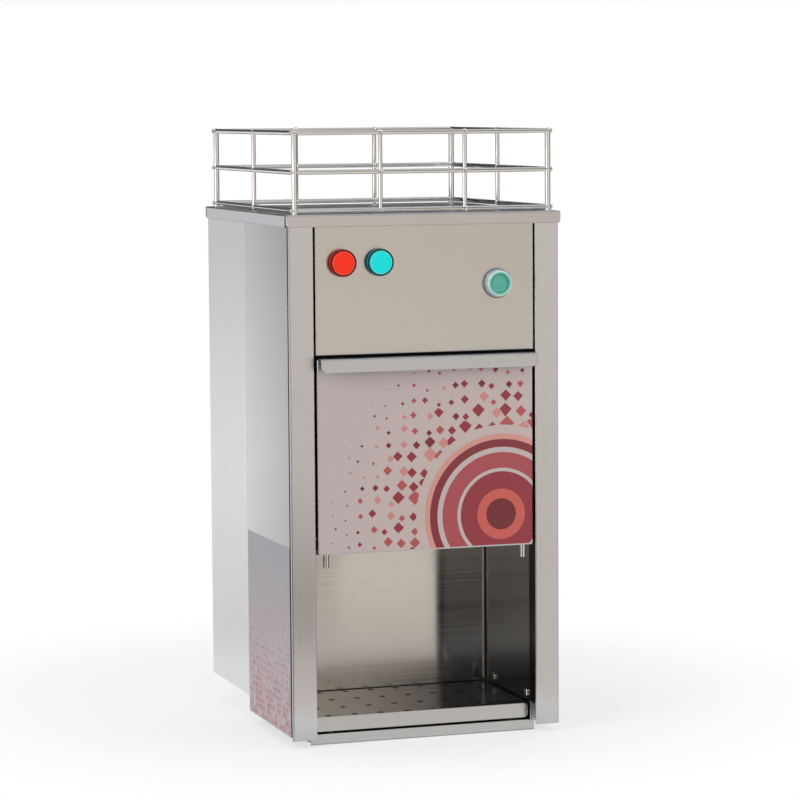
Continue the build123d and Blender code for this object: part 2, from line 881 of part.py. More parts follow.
def ram_rack():
    """Square ram with rack teeth behind, a trip lug and a spigot for the head."""
    ram = extrude(rack_side(), amount=ram_half, both=True)
    lug_z = (ram_top - lug_drop - lug_height, ram_top - lug_drop)
    lug_y = (press_y - ram_half, press_y - ram_half + lug_depth)
    ram += block((-ram_half - lug_reach, -ram_half), lug_y, lug_z)
    return ram + rod_z(spigot_radius, 0, press_y, (head_top - spigot_length, head_top))


def press_head():
    """Round press head with a domed, notched underside."""
    shoulder = head_top - head_neck
    side_top = shoulder - head_taper
    side_low = side_top - head_side
    low = side_low - head_dome
    crown = (head_crown_radius, low + head_crown_rise)
    cheek = (head_cheek_radius, low + head_cheek_rise)
    profile = ((0, low), crown, cheek, (head_radius, side_low), (head_radius, side_top),
               (head_boss, shoulder), (head_boss, head_top), (0, head_top))
    head = turned_z(profile, 0, press_y)
    head -= rod_z(spigot_radius, 0, press_y, (head_top - spigot_length, head_top))
    half_notch = head_notch_width / 2
    notch = block((head_notch_start, head_radius), (-half_notch, half_notch), (low, low + head_notch_height))
    for step in range(head_notch_count):
        head -= Pos(0, press_y, 0) * Rot(0, 0, 360 * step / head_notch_count) * notch
    return head


def gear_outline(module, teeth, phase):
    """Points round an involute gear with one tooth centred on the phase angle."""
    pitch_radius = module * teeth / 2
    base_radius = pitch_radius * cos(pressure_angle)
    tip_radius = pitch_radius + addendum * module
    root_radius = pitch_radius - dedendum * module
    start_radius = max(base_radius, root_radius)
    half_angle = (pi * module / 2 - backlash) / (2 * pitch_radius)
    spread = half_angle + tan(pressure_angle) - pressure_angle
    flank = [(root_radius, spread)]
    for step in range(flank_steps + 1):
        radius = start_radius + (tip_radius - start_radius) * step / flank_steps
        roll = acos(min(1.0, base_radius / radius))
        flank.append((radius, spread - tan(roll) + roll))
    points = []
    for tooth in range(teeth):
        centre = phase + 2 * pi * tooth / teeth
        for radius, offset in flank:
            points.append((radius * cos(centre - offset), radius * sin(centre - offset)))
        for radius, offset in reversed(flank):
            points.append((radius * cos(centre + offset), radius * sin(centre + offset)))
    return points


def gear(module, teeth, phase, x_span, y, bore):
    """Spur gear on an axis along X at shaft height."""
    outline = Plane.YZ * make_face(Polyline(*gear_outline(module, teeth, phase), close=True))
    wheel = Pos(x_span[0], y, shaft_height) * extrude(outline, amount=x_span[1] - x_span[0])
    return wheel - rod_x(bore, x_span, y, shaft_height)


def rack_pinion():
    """Pinion that drives the rack; one of its gaps faces the rack."""
    x_span = (-pinion_half_width, pinion_half_width)
    return gear(rack_module, pinion_teeth, pi + pi / pinion_teeth, x_span, shaft_y, shaft_radius)


def final_gear():
    """Large gear on the pinion shaft; one tooth faces the idler."""
    x_span = (gear_left, gear_right)
    wheel = gear(train_module, final_teeth, 0, x_span, shaft_y, shaft_radius)
    for step in range(gear_windows):
        turn = 2 * pi * (step + 0.5) / gear_windows
        y = shaft_y + gear_window_ring * cos(turn)
        z = shaft_height + gear_window_ring * sin(turn)
        wheel -= rod_x(gear_window_radius, x_span, y, z)
    return wheel


def idler_gear():
    """Gear between the final gear and the drive gear; one of its gaps faces the final gear."""
    bore = stub_radius + running_clearance
    phase = pi + pi / idler_teeth
    return gear(train_module, idler_teeth, phase, (gear_left, gear_right), idler_y, bore)


def drive_gear():
    """Small gear on the gearbox output, in step with what the idler shows behind."""
    shift = (idler_teeth % 2) * pi / drive_teeth
    return gear(train_module, drive_teeth, pi + shift, (gear_left, gear_right), motor_y, output_radius)


def pinion_shaft():
    """Cross shaft of the rack pinion and the final gear."""
    left = -bearing_x - bearing_width / 2 - shaft_overrun
    return rod_x(shaft_radius, (left, gear_right + shaft_overrun), shaft_y, shaft_height)


def bearing_spans():
    """Low and high X of the two bearings."""
    return both_sides(bearing_x - bearing_width / 2, bearing_x + bearing_width / 2)


def bearing_blocks():
    """Two upright blocks on the press plate."""
    base_y = (shaft_y - bearing_base_half, shaft_y + bearing_base_half)
    upright_y = (shaft_y - bearing_radius, shaft_y + bearing_radius)
    blocks = []
    for x_span in bearing_spans():
        upright = block(x_span, base_y, (press_plate_top, press_plate_top + bearing_base_height))
        upright += block(x_span, upright_y, (press_plate_top, shaft_height))
        upright += rod_x(bearing_radius, x_span, shaft_y, shaft_height)
        blocks.append(upright - rod_x(bush_radius, x_span, shaft_y, shaft_height))
    return group(*blocks)


def bearing_bushes():
    """Plain bushes of the pinion shaft."""
    bore = shaft_radius + running_clearance
    bushes = []
    for x_span in bearing_spans():
        bush = rod_x(bush_radius, x_span, shaft_y, shaft_height)
        bushes.append(bush - rod_x(bore, x_span, shaft_y, shaft_height))
    return group(*bushes)


def gear_plate():
    """Bracket on the bulkhead that carries the gearbox and the idler stub."""
    z_span = (shaft_height - gear_plate_half_height, shaft_height + gear_plate_half_height)
    x_span = (gear_plate_left, gear_plate_right)
    plate = block(x_span, (bulkhead_back, motor_y + gearbox_half + gear_plate_margin), z_span)
    foot_x = (gear_plate_right - gear_plate_foot, gear_plate_right)
    plate += block(foot_x, (bulkhead_back, bulkhead_back + gear_plate_thickness), z_span)
    plate -= rod_x(stub_thread, x_span, idler_y, shaft_height)
    return plate - rod_x(gearbox_boss, x_span, motor_y, shaft_height)


def idler_stub():
    """Shoulder stud that the idler turns on."""
    journal = (gear_left - axial_gap, gear_right + axial_gap)
    stub = rod_x(stub_thread, (gear_plate_left, gear_plate_right), idler_y, shaft_height)
    stub += rod_x(stub_collar, (gear_plate_right, journal[0]), idler_y, shaft_height)
    stub += rod_x(stub_radius, journal, idler_y, shaft_height)
    return stub + rod_x(stub_head, (journal[1], journal[1] + stub_head_length), idler_y, shaft_height)


def output_shaft():
    """Slow shaft of the gearbox."""
    x_span = (gear_plate_left - output_depth, gear_right + output_overrun)
    return rod_x(output_radius, x_span, motor_y, shaft_height)


def gearbox_case():
    """Square gearbox with a round boss through the gear plate."""
    x_span = (gear_plate_left - gearbox_length, gear_plate_left)
    y_span = (motor_y - gearbox_half, motor_y + gearbox_half)
    z_span = (shaft_height - gearbox_half, shaft_height + gearbox_half)
    case = block(x_span, y_span, z_span)
    case = fillet(case.edges().filter_by(Axis.X), gearbox_round)
    boss = (gear_plate_left, gear_plate_left + gearbox_boss_length)
    case += rod_x(gearbox_boss, boss, motor_y, shaft_height)
    bore = (gear_plate_left - output_depth - axial_gap, boss[1])
    return case - rod_x(output_radius + running_clearance, bore, motor_y, shaft_height)


def motor_can():
    """Round motor on the end of the gearbox."""
    right = gear_plate_left - gearbox_length
    left = right - motor_length
    can = rod_x(motor_radius, (left, right), motor_y, shaft_height)
    return can + rod_x(motor_bell_radius, (left - motor_bell_length, left), motor_y, shaft_height)


def control_box():
    """Closed box of the controls on the back of the bulkhead."""
    y_span = (bulkhead_back, bulkhead_back + box_depth)
    box = block((box_left, box_left + box_width), y_span, (box_bottom, box_bottom + box_height))
    return fillet(box.faces().sort_by(Axis.Y)[-1].edges(), box_round)


def drip_pan():
    """Sliding pan with a rounded front band that hangs from its rim."""
    x_span = (-pan_half_width, pan_half_width)
    pan_y = (pan_front_y + band_depth, pan_back_y)
    pan = block(x_span, pan_y, (plinth_top, pan_rim))
    inside = pan_half_width - pan_wall
    inside_y = (pan_y[0] + pan_wall, pan_y[1] - pan_wall)
    pan -= block((-inside, inside), inside_y, (plinth_top + pan_wall, pan_rim))
    pan += block(x_span, (pan_front_y, pan_y[0]), (pan_rim - pan_wall, pan_rim))
    band_y = (pan_front_y - sheet, pan_front_y)
    band = block((-band_half_width, band_half_width), band_y, (plinth_top + band_lift, band_top))
    return pan + fillet(band.edges().filter_by(Axis.Y), band_corner)


def centred_row(length, pitch):
    """Places of the drip holes that fit on a length, about its middle."""
    gaps = int((length - 2 * drip_hole_margin) / pitch)
    return [(step - gaps / 2) * pitch for step in range(gaps + 1)]


def drip_plate():
    """Perforated plate that a glass stands on."""
    half_width = wall_face - plate_gap
    y_span = (pan_front_y + plate_front_gap, bulkhead_front - plate_back_gap)
    z_span = (pan_rim, pan_rim + plate_thickness)
    plate = block((-half_width, half_width), y_span, z_span)
    middle = (y_span[0] + y_span[1]) / 2
    columns = centred_row(half_width * 2, drip_column_pitch)
    rows = centred_row(y_span[1] - y_span[0], drip_row_pitch)
    holes = [rod_z(drip_hole_radius, x, middle + y, z_span) for x in columns for y in rows]
    return plate - holes


def wall_screw_shanks():
    """Shanks of the screws low on the bay walls."""
    shanks = []
    for y in wall_screw_rows:
        for x_span in both_sides(wall_face, base_half):
            shanks.append(rod_x(screw_radius, x_span, y, wall_screw_height))
    return shanks


def wall_screws():
    """Dome-head screws that join the bay walls to the base."""
    screws = []
    for y in wall_screw_rows:
        head = rod_x(screw_head_radius, (wall_face - screw_head_height, wall_face), y, wall_screw_height)
        head = fillet(head.edges().sort_by(Axis.X)[0], screw_head_round)
        screw = head + rod_x(screw_radius, (wall_face, base_half), y, wall_screw_height)
        screws += [screw, mirrored(screw)]
    return group(*screws)


def cover_screw_places():
    """Across, height and outer face of each screw in the back."""
    places = []
    reach = half - cover_screw_inset
    for x in (-reach, 0, reach):
        places.append((x, rear_bottom + cover_screw_rise, back))
        places.append((x, body_top - cover_screw_drop, back + cap_overhang))
    return places


def cover_screw_shanks():
    """Shanks of the screws in the back."""
    inner = back - 2 * sheet
    return [rod_y(screw_radius, x, (inner, face), z) for x, z, face in cover_screw_places()]


def rear_cover_screws():
    """Screws that hold the rear housing to its floor and to the cap."""
    screws = []
    for (x, z, face), shank in zip(cover_screw_places(), cover_screw_shanks()):
        head = rod_y(screw_head_radius, x, (face, face + screw_head_height), z)
        screws.append(shank + fillet(head.edges().sort_by(Axis.Y)[-1], screw_head_round))
    return group(*screws)


def cable_gland():
    """Gland for the mains lead, with its inside nut."""
    face = back + gland_hex_length
    inner = back - gland_inside
    wrench = extrude(Plane.XZ * RegularPolygon(gland_hex, 6), amount=gland_hex_length)
    gland = Pos(gland_x, face, gland_height) * wrench
    gland += rod_y(gland_dome_radius, gland_x, (face, back + gland_reach), gland_height)
    gland += rod_y(gland_thread, gland_x, (inner, back), gland_height)
    nut_y = (back - sheet - gland_nut_length, back - sheet)
    gland += rod_y(gland_hex, gland_x, nut_y, gland_height)
    return gland - rod_y(gland_bore, gland_x, (inner, back + gland_reach), gland_height)


def build_parts():
    """Every piece by name."""
    post = right_post()
    side_panel = right_side_panel()
    inner_wall = right_inner_wall()
    grille = right_grille()
    return {
        "base_pan": base_pan(),
        "base_pads": base_pads(),
        "rear_feet": rear_feet(),
        "left_post": mirrored(post),
        "right_post": post,
        "left_side_panel": mirrored(side_panel),
        "right_side_panel": side_panel,
        "left_inner_wall": mirrored(inner_wall),
        "right_inner_wall": inner_wall,
        "bulkhead": bulkhead(),
        "rear_floor": rear_floor(),
        "rear_housing": rear_housing(),
        "rear_cover_screws": rear_cover_screws(),
        "cable_gland": cable_gland(),
        "top_cap": top_cap(),
        "basket_front": long_grille(basket_front_y),
        "basket_back": long_grille(basket_back_y),
        "basket_left": mirrored(grille),
        "basket_right": grille,
        "control_panel": control_panel(),
        "red_lamp_lens": lamp_lens(lamp_places[0]),
        "green_lamp_lens": lamp_lens(lamp_places[1]),
        "lamp_bodies": lamp_bodies(),
        "panel_nuts": panel_nuts(),
        "button_bezel": button_bezel(),
        "button_boot": button_boot(),
        "button_cap": button_cap(),
        "button_spring": button_spring(),
        "button_contact_block": button_contact_block(),
        "front_door": front_door(),
        "door_pegs": door_pegs(),
        "door_hinge_pins": door_hinge_pins(),
        "mid_rail": mid_rail(),
        "door_magnets": door_magnets(),
        "chamber_floor": chamber_floor(),
        "juice_funnel": juice_funnel(),
        "juice_spout": juice_spout(),
        "press_bowl": press_bowl(),
        "press_plate": press_plate(),
        "plate_brackets": plate_brackets(),
        "ram_guide": ram_guide(),
        "limit_switches": limit_switches(),
        "ram_rack": ram_rack(),
        "press_head": press_head(),
        "pinion_shaft": pinion_shaft(),
        "rack_pinion": rack_pinion(),
        "final_gear": final_gear(),
        "bearing_blocks": bearing_blocks(),
        "bearing_bushes": bearing_bushes(),
        "gear_plate": gear_plate(),
        "idler_gear": idler_gear(),
        "idler_stub": idler_stub(),
        "drive_gear": drive_gear(),
        "output_shaft": output_shaft(),
        "gearbox_case": gearbox_case(),
        "motor_can": motor_can(),
        "control_box": control_box(),
        "drip_pan": drip_pan(),
        "drip_plate": drip_plate(),
        "wall_screws": wall_screws(),
    }


os.makedirs("parts", exist_ok=True)
for name, piece in build_parts().items():
    export_step(piece, f"parts/{name}.step")
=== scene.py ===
"""Looks of the automatic pomegranate juicer: finishes, printed films, lamps, button, welds and studio."""
from __future__ import annotations

import json
import logging
import math
import random
from dataclasses import dataclass
from enum import Enum
from typing import Any, Callable, Iterable, Sequence

import bmesh
import bpy
from mathutils import Matrix, Vector

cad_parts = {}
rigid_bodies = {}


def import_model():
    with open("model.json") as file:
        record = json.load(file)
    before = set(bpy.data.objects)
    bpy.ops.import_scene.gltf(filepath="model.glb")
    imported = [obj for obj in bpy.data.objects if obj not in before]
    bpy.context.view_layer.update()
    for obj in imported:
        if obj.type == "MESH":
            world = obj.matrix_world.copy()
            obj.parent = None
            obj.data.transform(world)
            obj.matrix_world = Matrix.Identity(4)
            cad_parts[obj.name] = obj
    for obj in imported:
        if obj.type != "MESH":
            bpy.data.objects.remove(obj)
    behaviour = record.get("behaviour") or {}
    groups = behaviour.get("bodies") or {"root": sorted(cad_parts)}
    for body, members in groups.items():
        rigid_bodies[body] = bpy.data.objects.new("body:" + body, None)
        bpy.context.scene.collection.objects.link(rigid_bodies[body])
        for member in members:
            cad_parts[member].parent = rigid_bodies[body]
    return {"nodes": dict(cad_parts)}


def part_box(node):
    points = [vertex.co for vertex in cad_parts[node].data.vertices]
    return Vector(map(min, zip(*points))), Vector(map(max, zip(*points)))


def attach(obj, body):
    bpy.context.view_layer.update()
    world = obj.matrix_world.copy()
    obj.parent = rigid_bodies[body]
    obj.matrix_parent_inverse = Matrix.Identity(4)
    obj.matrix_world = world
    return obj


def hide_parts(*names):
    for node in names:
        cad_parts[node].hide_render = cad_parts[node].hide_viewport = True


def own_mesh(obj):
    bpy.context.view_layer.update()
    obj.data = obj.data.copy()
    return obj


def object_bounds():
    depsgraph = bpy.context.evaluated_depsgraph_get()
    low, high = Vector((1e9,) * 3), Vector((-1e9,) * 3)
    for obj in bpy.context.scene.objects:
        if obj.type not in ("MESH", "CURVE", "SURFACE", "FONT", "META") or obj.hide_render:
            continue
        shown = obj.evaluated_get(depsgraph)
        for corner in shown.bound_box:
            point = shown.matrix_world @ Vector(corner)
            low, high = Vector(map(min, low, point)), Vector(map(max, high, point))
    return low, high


for spare in list(bpy.data.objects):
    bpy.data.objects.remove(spare)
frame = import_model()
CAD_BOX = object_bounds()

LOG = logging.getLogger("juicer")
MM = 0.001
# Angles in degrees above which an edge stays sharp: on flat pieces, on round ones, and on beads, where none does
FLAT_SHARP, ROUND_SHARP, NEVER_SHARP = 35.0, 60.0, 180.0
Node = bpy.types.Node
NodeTree = bpy.types.NodeTree
Socket = bpy.types.NodeSocket
Shape = bmesh.types.BMesh
Span = tuple[float, float]
Stops = Sequence[tuple[float, Any]]
Profile = Sequence[tuple[float, float, int]]


class Grain(Enum):
    """Direction in which a sheet was brushed."""

    ACROSS = (1.0, 0.0, 0.0)
    DEEP = (0.0, 1.0, 0.0)
    UPRIGHT = (0.0, 0.0, 1.0)


def linear(hex_colour: str) -> tuple[float, float, float, float]:
    """Turns an sRGB hex colour to linear light.

    Args:
        hex_colour: Six hex digits after a hash sign.

    Returns:
        Red, green, blue and an alpha of one.
    """
    shares = [int(hex_colour[i:i + 2], 16) / 255 for i in (1, 3, 5)]
    bent = [s / 12.92 if s <= 0.04045 else ((s + 0.055) / 1.055) ** 2.4 for s in shares]
    return bent[0], bent[1], bent[2], 1.0


def set_inputs(tree: NodeTree, node: Node, inputs: dict[Any, Any]) -> None:
    """Sets a node's inputs.

    Args:
        tree: Node tree that holds the node.
        node: The node.
        inputs: Input name or number to a value or to the socket that feeds it.
    """
    for name, value in inputs.items():
        if isinstance(value, Socket):
            tree.links.new(value, node.inputs[name])
        else:
            node.inputs[name].default_value = value


def add_node(tree: NodeTree, kind: str, inputs: dict[Any, Any] | None = None, **settings: Any) -> Node:
    """Adds a node with its settings and links.

    Args:
        tree: Node tree of a material or the world.
        kind: Blender's name of the node type.
        inputs: Input name or number to a value or to the socket that feeds it.
        settings: Properties of the node itself.

    Returns:
        The new node.
    """
    node = tree.nodes.new(kind)
    for name, value in settings.items():
        setattr(node, name, value)
    set_inputs(tree, node, inputs or {})
    return node


def calculate(tree: NodeTree, operation: str, *values: Any, clamp: bool = False) -> Socket:
    """Adds one step of arithmetic on numbers or sockets and returns its result."""
    inputs = dict(enumerate(values))
    return add_node(tree, "ShaderNodeMath", inputs, operation=operation, use_clamp=clamp).outputs[0]


def map_range(tree: NodeTree, value: Socket, start: float, end: float, low: float = 0.0, high: Any = 1.0,
              **settings: Any) -> Socket:
    """Maps a value from one range to another and stops at its ends.

    Args:
        tree: Node tree of a material or the world.
        value: What is mapped.
        start: Value that gives low.
        end: Value that gives high.
        low: Result at the start.
        high: Result at the end, a number or a socket.
        settings: Properties of the node itself.

    Returns:
        The result.
    """
    inputs = {"Value": value, "From Min": start, "From Max": end, "To Min": low, "To Max": high}
    return add_node(tree, "ShaderNodeMapRange", inputs, **settings).outputs["Result"]


def spread(tree: NodeTree, pattern: Socket, low: float, high: float) -> Socket:
    """Maps the middle half of a pattern, where most of it lies, to a range of values."""
    return map_range(tree, pattern, 0.25, 0.75, low, high)


def ramp(tree: NodeTree, share: Socket, stops: Stops, sharp: bool = False) -> Socket:
    """Adds a colour ramp.

    Args:
        tree: Node tree of a material or the world.
        share: Place on the ramp from 0 to 1.
        stops: Places with a hex colour or a grey level.
        sharp: Whether colours change in steps.

    Returns:
        The ramp's colour.
    """
    node = add_node(tree, "ShaderNodeValToRGB", {"Fac": share})
    bands = node.color_ramp
    bands.interpolation = "CONSTANT" if sharp else "LINEAR"
    while len(bands.elements) < len(stops):
        bands.elements.new(0.5)
    for element, (place, colour) in zip(bands.elements, stops):
        element.position = place
        element.color = linear(colour) if isinstance(colour, str) else (colour, colour, colour, 1.0)
    return node.outputs["Color"]


def blend(tree: NodeTree, factor: Socket, under: Any, over: Any, way: str = "MIX") -> Socket:
    """Lays one colour over another by a factor and returns the mixed colour."""
    inputs = {"Factor": factor, "A": under, "B": over}
    return add_node(tree, "ShaderNodeMix", inputs, data_type="RGBA", blend_type=way).outputs["Result"]


def coordinates(tree: NodeTree) -> Socket:
    """Gives each point's place in the part's frame, in metres."""
    return add_node(tree, "ShaderNodeTexCoord").outputs["Object"]


def split(tree: NodeTree, vector: Socket) -> bpy.types.NodeOutputs:
    """Splits a vector into X, Y and Z."""
    return add_node(tree, "ShaderNodeSeparateXYZ", {0: vector}).outputs


def length(tree: NodeTree, vector: Socket) -> Socket:
    """Measures a vector."""
    return add_node(tree, "ShaderNodeVectorMath", {0: vector}, operation="LENGTH").outputs["Value"]


def rounded_normal(tree: NodeTree, radius: float, samples: int) -> Socket:
    """Gives the surface's direction as if its sharp edges were rounded to a radius in millimetres."""
    return add_node(tree, "ShaderNodeBevel", {"Radius": radius * MM}, samples=samples).outputs["Normal"]


def noise(tree: NodeTree, sizes: Sequence[float], detail: float = 2.0) -> Socket:
    """Adds an irregular pattern.

    Args:
        tree: Node tree of the material.
        sizes: Size of one pattern step along X, Y and Z, in millimetres.
        detail: How many finer steps are added.

    Returns:
        The pattern from 0 to 1.
    """
    scale = tuple(1 / (size * MM) for size in sizes)
    places = add_node(tree, "ShaderNodeMapping", {"Vector": coordinates(tree), "Scale": scale}).outputs["Vector"]
    return add_node(tree, "ShaderNodeTexNoise", {"Vector": places, "Scale": 1.0, "Detail": detail}).outputs["Fac"]


@dataclass(frozen=True)
class Finish:
    """A plain surface finish, the base of the others. Sizes in all finishes are in millimetres."""

    name: str
    colour: str
    roughness: float
    metallic: float = 0.0

    def material(self) -> bpy.types.Material:
        """Makes the material at its first use and returns it."""
        made = bpy.data.materials.get(self.name)
        if made is None:
            made = bpy.data.materials.new(self.name)
            made.use_nodes = True
            shader = made.node_tree.nodes["Principled BSDF"]
            set_inputs(made.node_tree, shader, {
                "Base Color": linear(self.colour), "Metallic": self.metallic, "Roughness": self.roughness})
            self.draw(made.node_tree, shader)
        return made

    def draw(self, tree: NodeTree, shader: Node) -> None:
        """Adds the finish's own pattern to the shader."""

    def tone(self, tree: NodeTree, level: Socket) -> Socket:
        """Changes the tone over the surface, which a plain finish leaves as it is."""
        return level

    def vary(self, tree: NodeTree, shader: Node, pattern: Socket, contrast: float) -> None:
        """Lets a pattern vary the gloss and the tone.

        Args:
            tree: Node tree of the material.
            shader: The surface shader.
            pattern: Pattern from 0 to 1.
            contrast: How far both leave their mean.
        """
        rough = spread(tree, pattern, self.roughness - contrast, self.roughness + contrast)
        level = self.tone(tree, spread(tree, pattern, 1 - contrast, 1 + contrast))
        shade = add_node(tree, "ShaderNodeHueSaturation", {"Color": linear(self.colour), "Value": level})
        set_inputs(tree, shader, {"Roughness": rough, "Base Color": shade.outputs["Color"]})

    def relief(self, tree: NodeTree, shader: Node, height: Socket, depth: float, edge: float) -> None:
        """Lays a relief on the surface and rounds its sharp edges.

        Args:
            tree: Node tree of the material.
            shader: The surface shader.
            height: Height pattern from 0 to 1.
            depth: Depth of the relief in millimetres.
            edge: Radius of the rounded edges in millimetres.
        """
        inputs = {"Height": height, "Distance": depth * MM, "Normal": rounded_normal(tree, edge, samples=4)}
        set_inputs(tree, shader, {"Normal": add_node(tree, "ShaderNodeBump", inputs).outputs["Normal"]})


@dataclass(frozen=True)
class BrushedSteel(Finish):
    """Stainless sheet with a ground satin finish: fine lines that stretch highlights across them.

    Real brush lines are about 0.1 mm wide. They are drawn coarser, 0.5 to 2 mm, so that they show at arm's length.
    """

    metallic: float = 1.0
    grain: Grain = Grain.UPRIGHT
    line_width: float = 2.0
    line_length: float = 500.0
    cloud: float = 70.0
    stretch: float = 0.6
    contrast: float = 0.09
    depth: float = 0.004
    fold: float = 0.5

    def draw(self, tree: NodeTree, shader: Node) -> None:
        """Draws brush lines, faint clouds of handling and the stretched highlight."""
        lines = noise(tree, [self.line_length if part else self.line_width for part in self.grain.value], detail=3.0)
        both = calculate(tree, "ADD", lines, noise(tree, [self.cloud] * 3))
        self.vary(tree, shader, calculate(tree, "MULTIPLY", both, 0.5), self.contrast)
        along = add_node(tree, "ShaderNodeVectorTransform", {"Vector": self.grain.value},
                         vector_type="VECTOR", convert_from="OBJECT", convert_to="WORLD")
        quarter_turn = 0.25
        set_inputs(tree, shader, {"Tangent": along.outputs["Vector"], "Anisotropic": self.stretch,
                                  "Anisotropic Rotation": quarter_turn})
        self.relief(tree, shader, lines, self.depth, self.fold)


@dataclass(frozen=True)
class ShadePaintedSteel(BrushedSteel):
    """Brushed sheet with painted shade: darker towards one edge along an axis."""

    # Painted shade runs along an axis over a span in millimetres, from a shaded tone at its start to none at its end
    axis: str = "Z"
    fade: Span = (30.0, 150.0)
    shaded_tone: float = 0.5

    def tone(self, tree: NodeTree, level: Socket) -> Socket:
        """Paints shade: darkens the tone towards one edge."""
        start, end = (reach * MM for reach in self.fade)
        share = map_range(tree, split(tree, coordinates(tree))[self.axis], start, end, self.shaded_tone)
        return calculate(tree, "MULTIPLY", level, share)


@dataclass(frozen=True)
class FoldedSteel(ShadePaintedSteel):
    """Sheet with painted shade towards one edge and on its folds behind its outer faces.

    Attributes:
        node: Node whose outer faces count.
        skin: Depth from its side face at which the painted shade begins.
        edge: Depths from its front face at which the painted shade begins and ends.
        roof: Depth from its top face at which the painted shade begins.
        low: Tone of the painted shade.
    """

    axis: str = "Y"
    fade: Span = (-150.0, 0.0)
    shaded_tone: float = 1.0
    node: str = "right_post"
    skin: float = 0.3
    edge: Span = (2.0, 400.0)
    roof: float = -1.0
    low: float = 0.05

    def tone(self, tree: NodeTree, level: Socket) -> Socket:
        """Also paints shade on what lies behind the front face and inside the outer faces."""
        low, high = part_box(self.node)
        start, end = (low.y + depth * MM for depth in self.edge)
        axes = split(tree, coordinates(tree))
        inside = calculate(tree, "LESS_THAN", calculate(tree, "ABSOLUTE", axes["X"]), high.x - self.skin * MM)
        behind = calculate(tree, "COMPARE", axes["Y"], (start + end) / 2, (end - start) / 2)
        below = calculate(tree, "LESS_THAN", axes["Z"], high.z - self.roof * MM)
        recess_shade = calculate(tree, "MULTIPLY", calculate(tree, "MULTIPLY", inside, behind), below)
        share = map_range(tree, recess_shade, 0.0, 1.0, 1.0, self.low)
        return calculate(tree, "MULTIPLY", super().tone(tree, level), share)


@dataclass(frozen=True)
class PostSteel(FoldedSteel):
    """Folded post with painted shade: a dark line on its outer corner in front of a greyer return, set by which way
    the surface faces.

    Attributes:
        bend: Radius of the corner.
        corner: Tone of the painted shade on the corner.
        side: Tone of the painted shade on the return behind it.
    """

    bend: float = 1.0
    corner: float = 0.5
    side: float = 0.85

    def tone(self, tree: NodeTree, level: Socket) -> Socket:
        """Also paints shade on the outer corner and the return, by the sine of the turn from the front."""
        outwards = calculate(tree, "SIGN", split(tree, coordinates(tree))["X"])
        facing = split(tree, rounded_normal(tree, self.bend, samples=8))["X"]
        stops = [(0.0, 1.0), (0.25, 1.0), (0.45, self.corner), (0.8, self.corner), (0.97, self.side)]
        share = ramp(tree, calculate(tree, "MULTIPLY", facing, outwards), stops)
        return calculate(tree, "MULTIPLY", super().tone(tree, level), share)


@dataclass(frozen=True)
class PunchedSteel(BrushedSteel):
    """Brushed sheet with punched holes: painted shade darkens their walls and a narrow rim along every edge.

    Attributes:
        rim: Width of the rim.
        low: Tone of the painted shade.
        flat: Upward parts of the surface's direction between which the painted shade ends.
    """

    rim: float = 1.0
    low: float = 0.02
    flat: Span = (0.7, 0.98)

    def tone(self, tree: NodeTree, level: Socket) -> Socket:
        """Paints shade on the walls of the holes and on the rims."""
        upward = calculate(tree, "ABSOLUTE", split(tree, rounded_normal(tree, self.rim, samples=8))["Z"])
        return calculate(tree, "MULTIPLY", level, map_range(tree, upward, *self.flat, self.low))


@dataclass(frozen=True)
class GrainedSolid(Finish):
    """Moulded, cast or machined surface with an even fine grain."""

    grit: float = 0.5
    depth: float = 0.03
    contrast: float = 0.06
    coat: float = 0.0
    gloss: float = 0.5
    edge: float = 0.4

    def draw(self, tree: NodeTree, shader: Node) -> None:
        """Draws the grain in relief and lets it vary gloss and tone."""
        grain = noise(tree, [self.grit] * 3)
        self.vary(tree, shader, grain, self.contrast)
        set_inputs(tree, shader, {"Coat Weight": self.coat, "Specular IOR Level": self.gloss})
        self.relief(tree, shader, grain, self.depth, self.edge)


@dataclass(frozen=True)
class TurnedSteel(Finish):
    """Steel turned on a lathe: fine rings round an upright axis, given in metres, that catch the light in fans."""

    metallic: float = 1.0
    axis_y: float = 0.0
    ring: float = 0.9
    waver: float = 0.6
    contrast: float = 0.05
    depth: float = 0.01
    edge: float = 0.5

    def draw(self, tree: NodeTree, shader: Node) -> None:
        """Draws the tool's rings about the axis."""
        moved = add_node(tree, "ShaderNodeMapping", {
            "Vector": coordinates(tree), "Location": (0.0, -self.axis_y, 0.0)}).outputs["Vector"]
        waves_per_unit = 20 / math.tau
        rings = add_node(tree, "ShaderNodeTexWave", {
            "Vector": moved, "Scale": 1 / (waves_per_unit * self.ring * MM), "Distortion": self.waver,
            "Detail Scale": 2.0}, wave_type="RINGS", rings_direction="Z").outputs["Fac"]
        rough = spread(tree, rings, self.roughness - self.contrast, self.roughness + self.contrast)
        set_inputs(tree, shader, {"Roughness": rough})
        self.relief(tree, shader, rings, self.depth, self.edge)


@dataclass(frozen=True)
class ClearPlastic(Finish):
    """Clear or tinted moulding that lets light through."""

    ior: float = 1.49
    through: float = 0.8
    ripple: float = 3.0
    gloss: float = 0.5
    depth: float = 0.05
    edge: float = 0.3

    def draw(self, tree: NodeTree, shader: Node) -> None:
        """Sets the clearness and a faint moulding ripple."""
        set_inputs(tree, shader, {
            "IOR": self.ior, "Transmission Weight": self.through, "Specular IOR Level": self.gloss})
        self.relief(tree, shader, noise(tree, [self.ripple] * 3), self.depth, self.edge)


@dataclass(frozen=True)
class PrintedFilm(Finish):
    """Self-adhesive film, printed and laminated: flat inks under an even, slightly soft gloss."""

    design: Callable[[NodeTree], Socket] | None = None
    coat: float = 0.25
    coat_roughness: float = 0.12
    peel: float = 4.0
    depth: float = 0.02
    edge: float = 0.1

    def draw(self, tree: NodeTree, shader: Node) -> None:
        """Prints the design and gives the laminate its orange-peel gloss."""
        set_inputs(tree, shader, {
            "Base Color": self.design(tree), "Coat Weight": self.coat, "Coat Roughness": self.coat_roughness})
        self.relief(tree, shader, noise(tree, [self.peel] * 3), self.depth, self.edge)


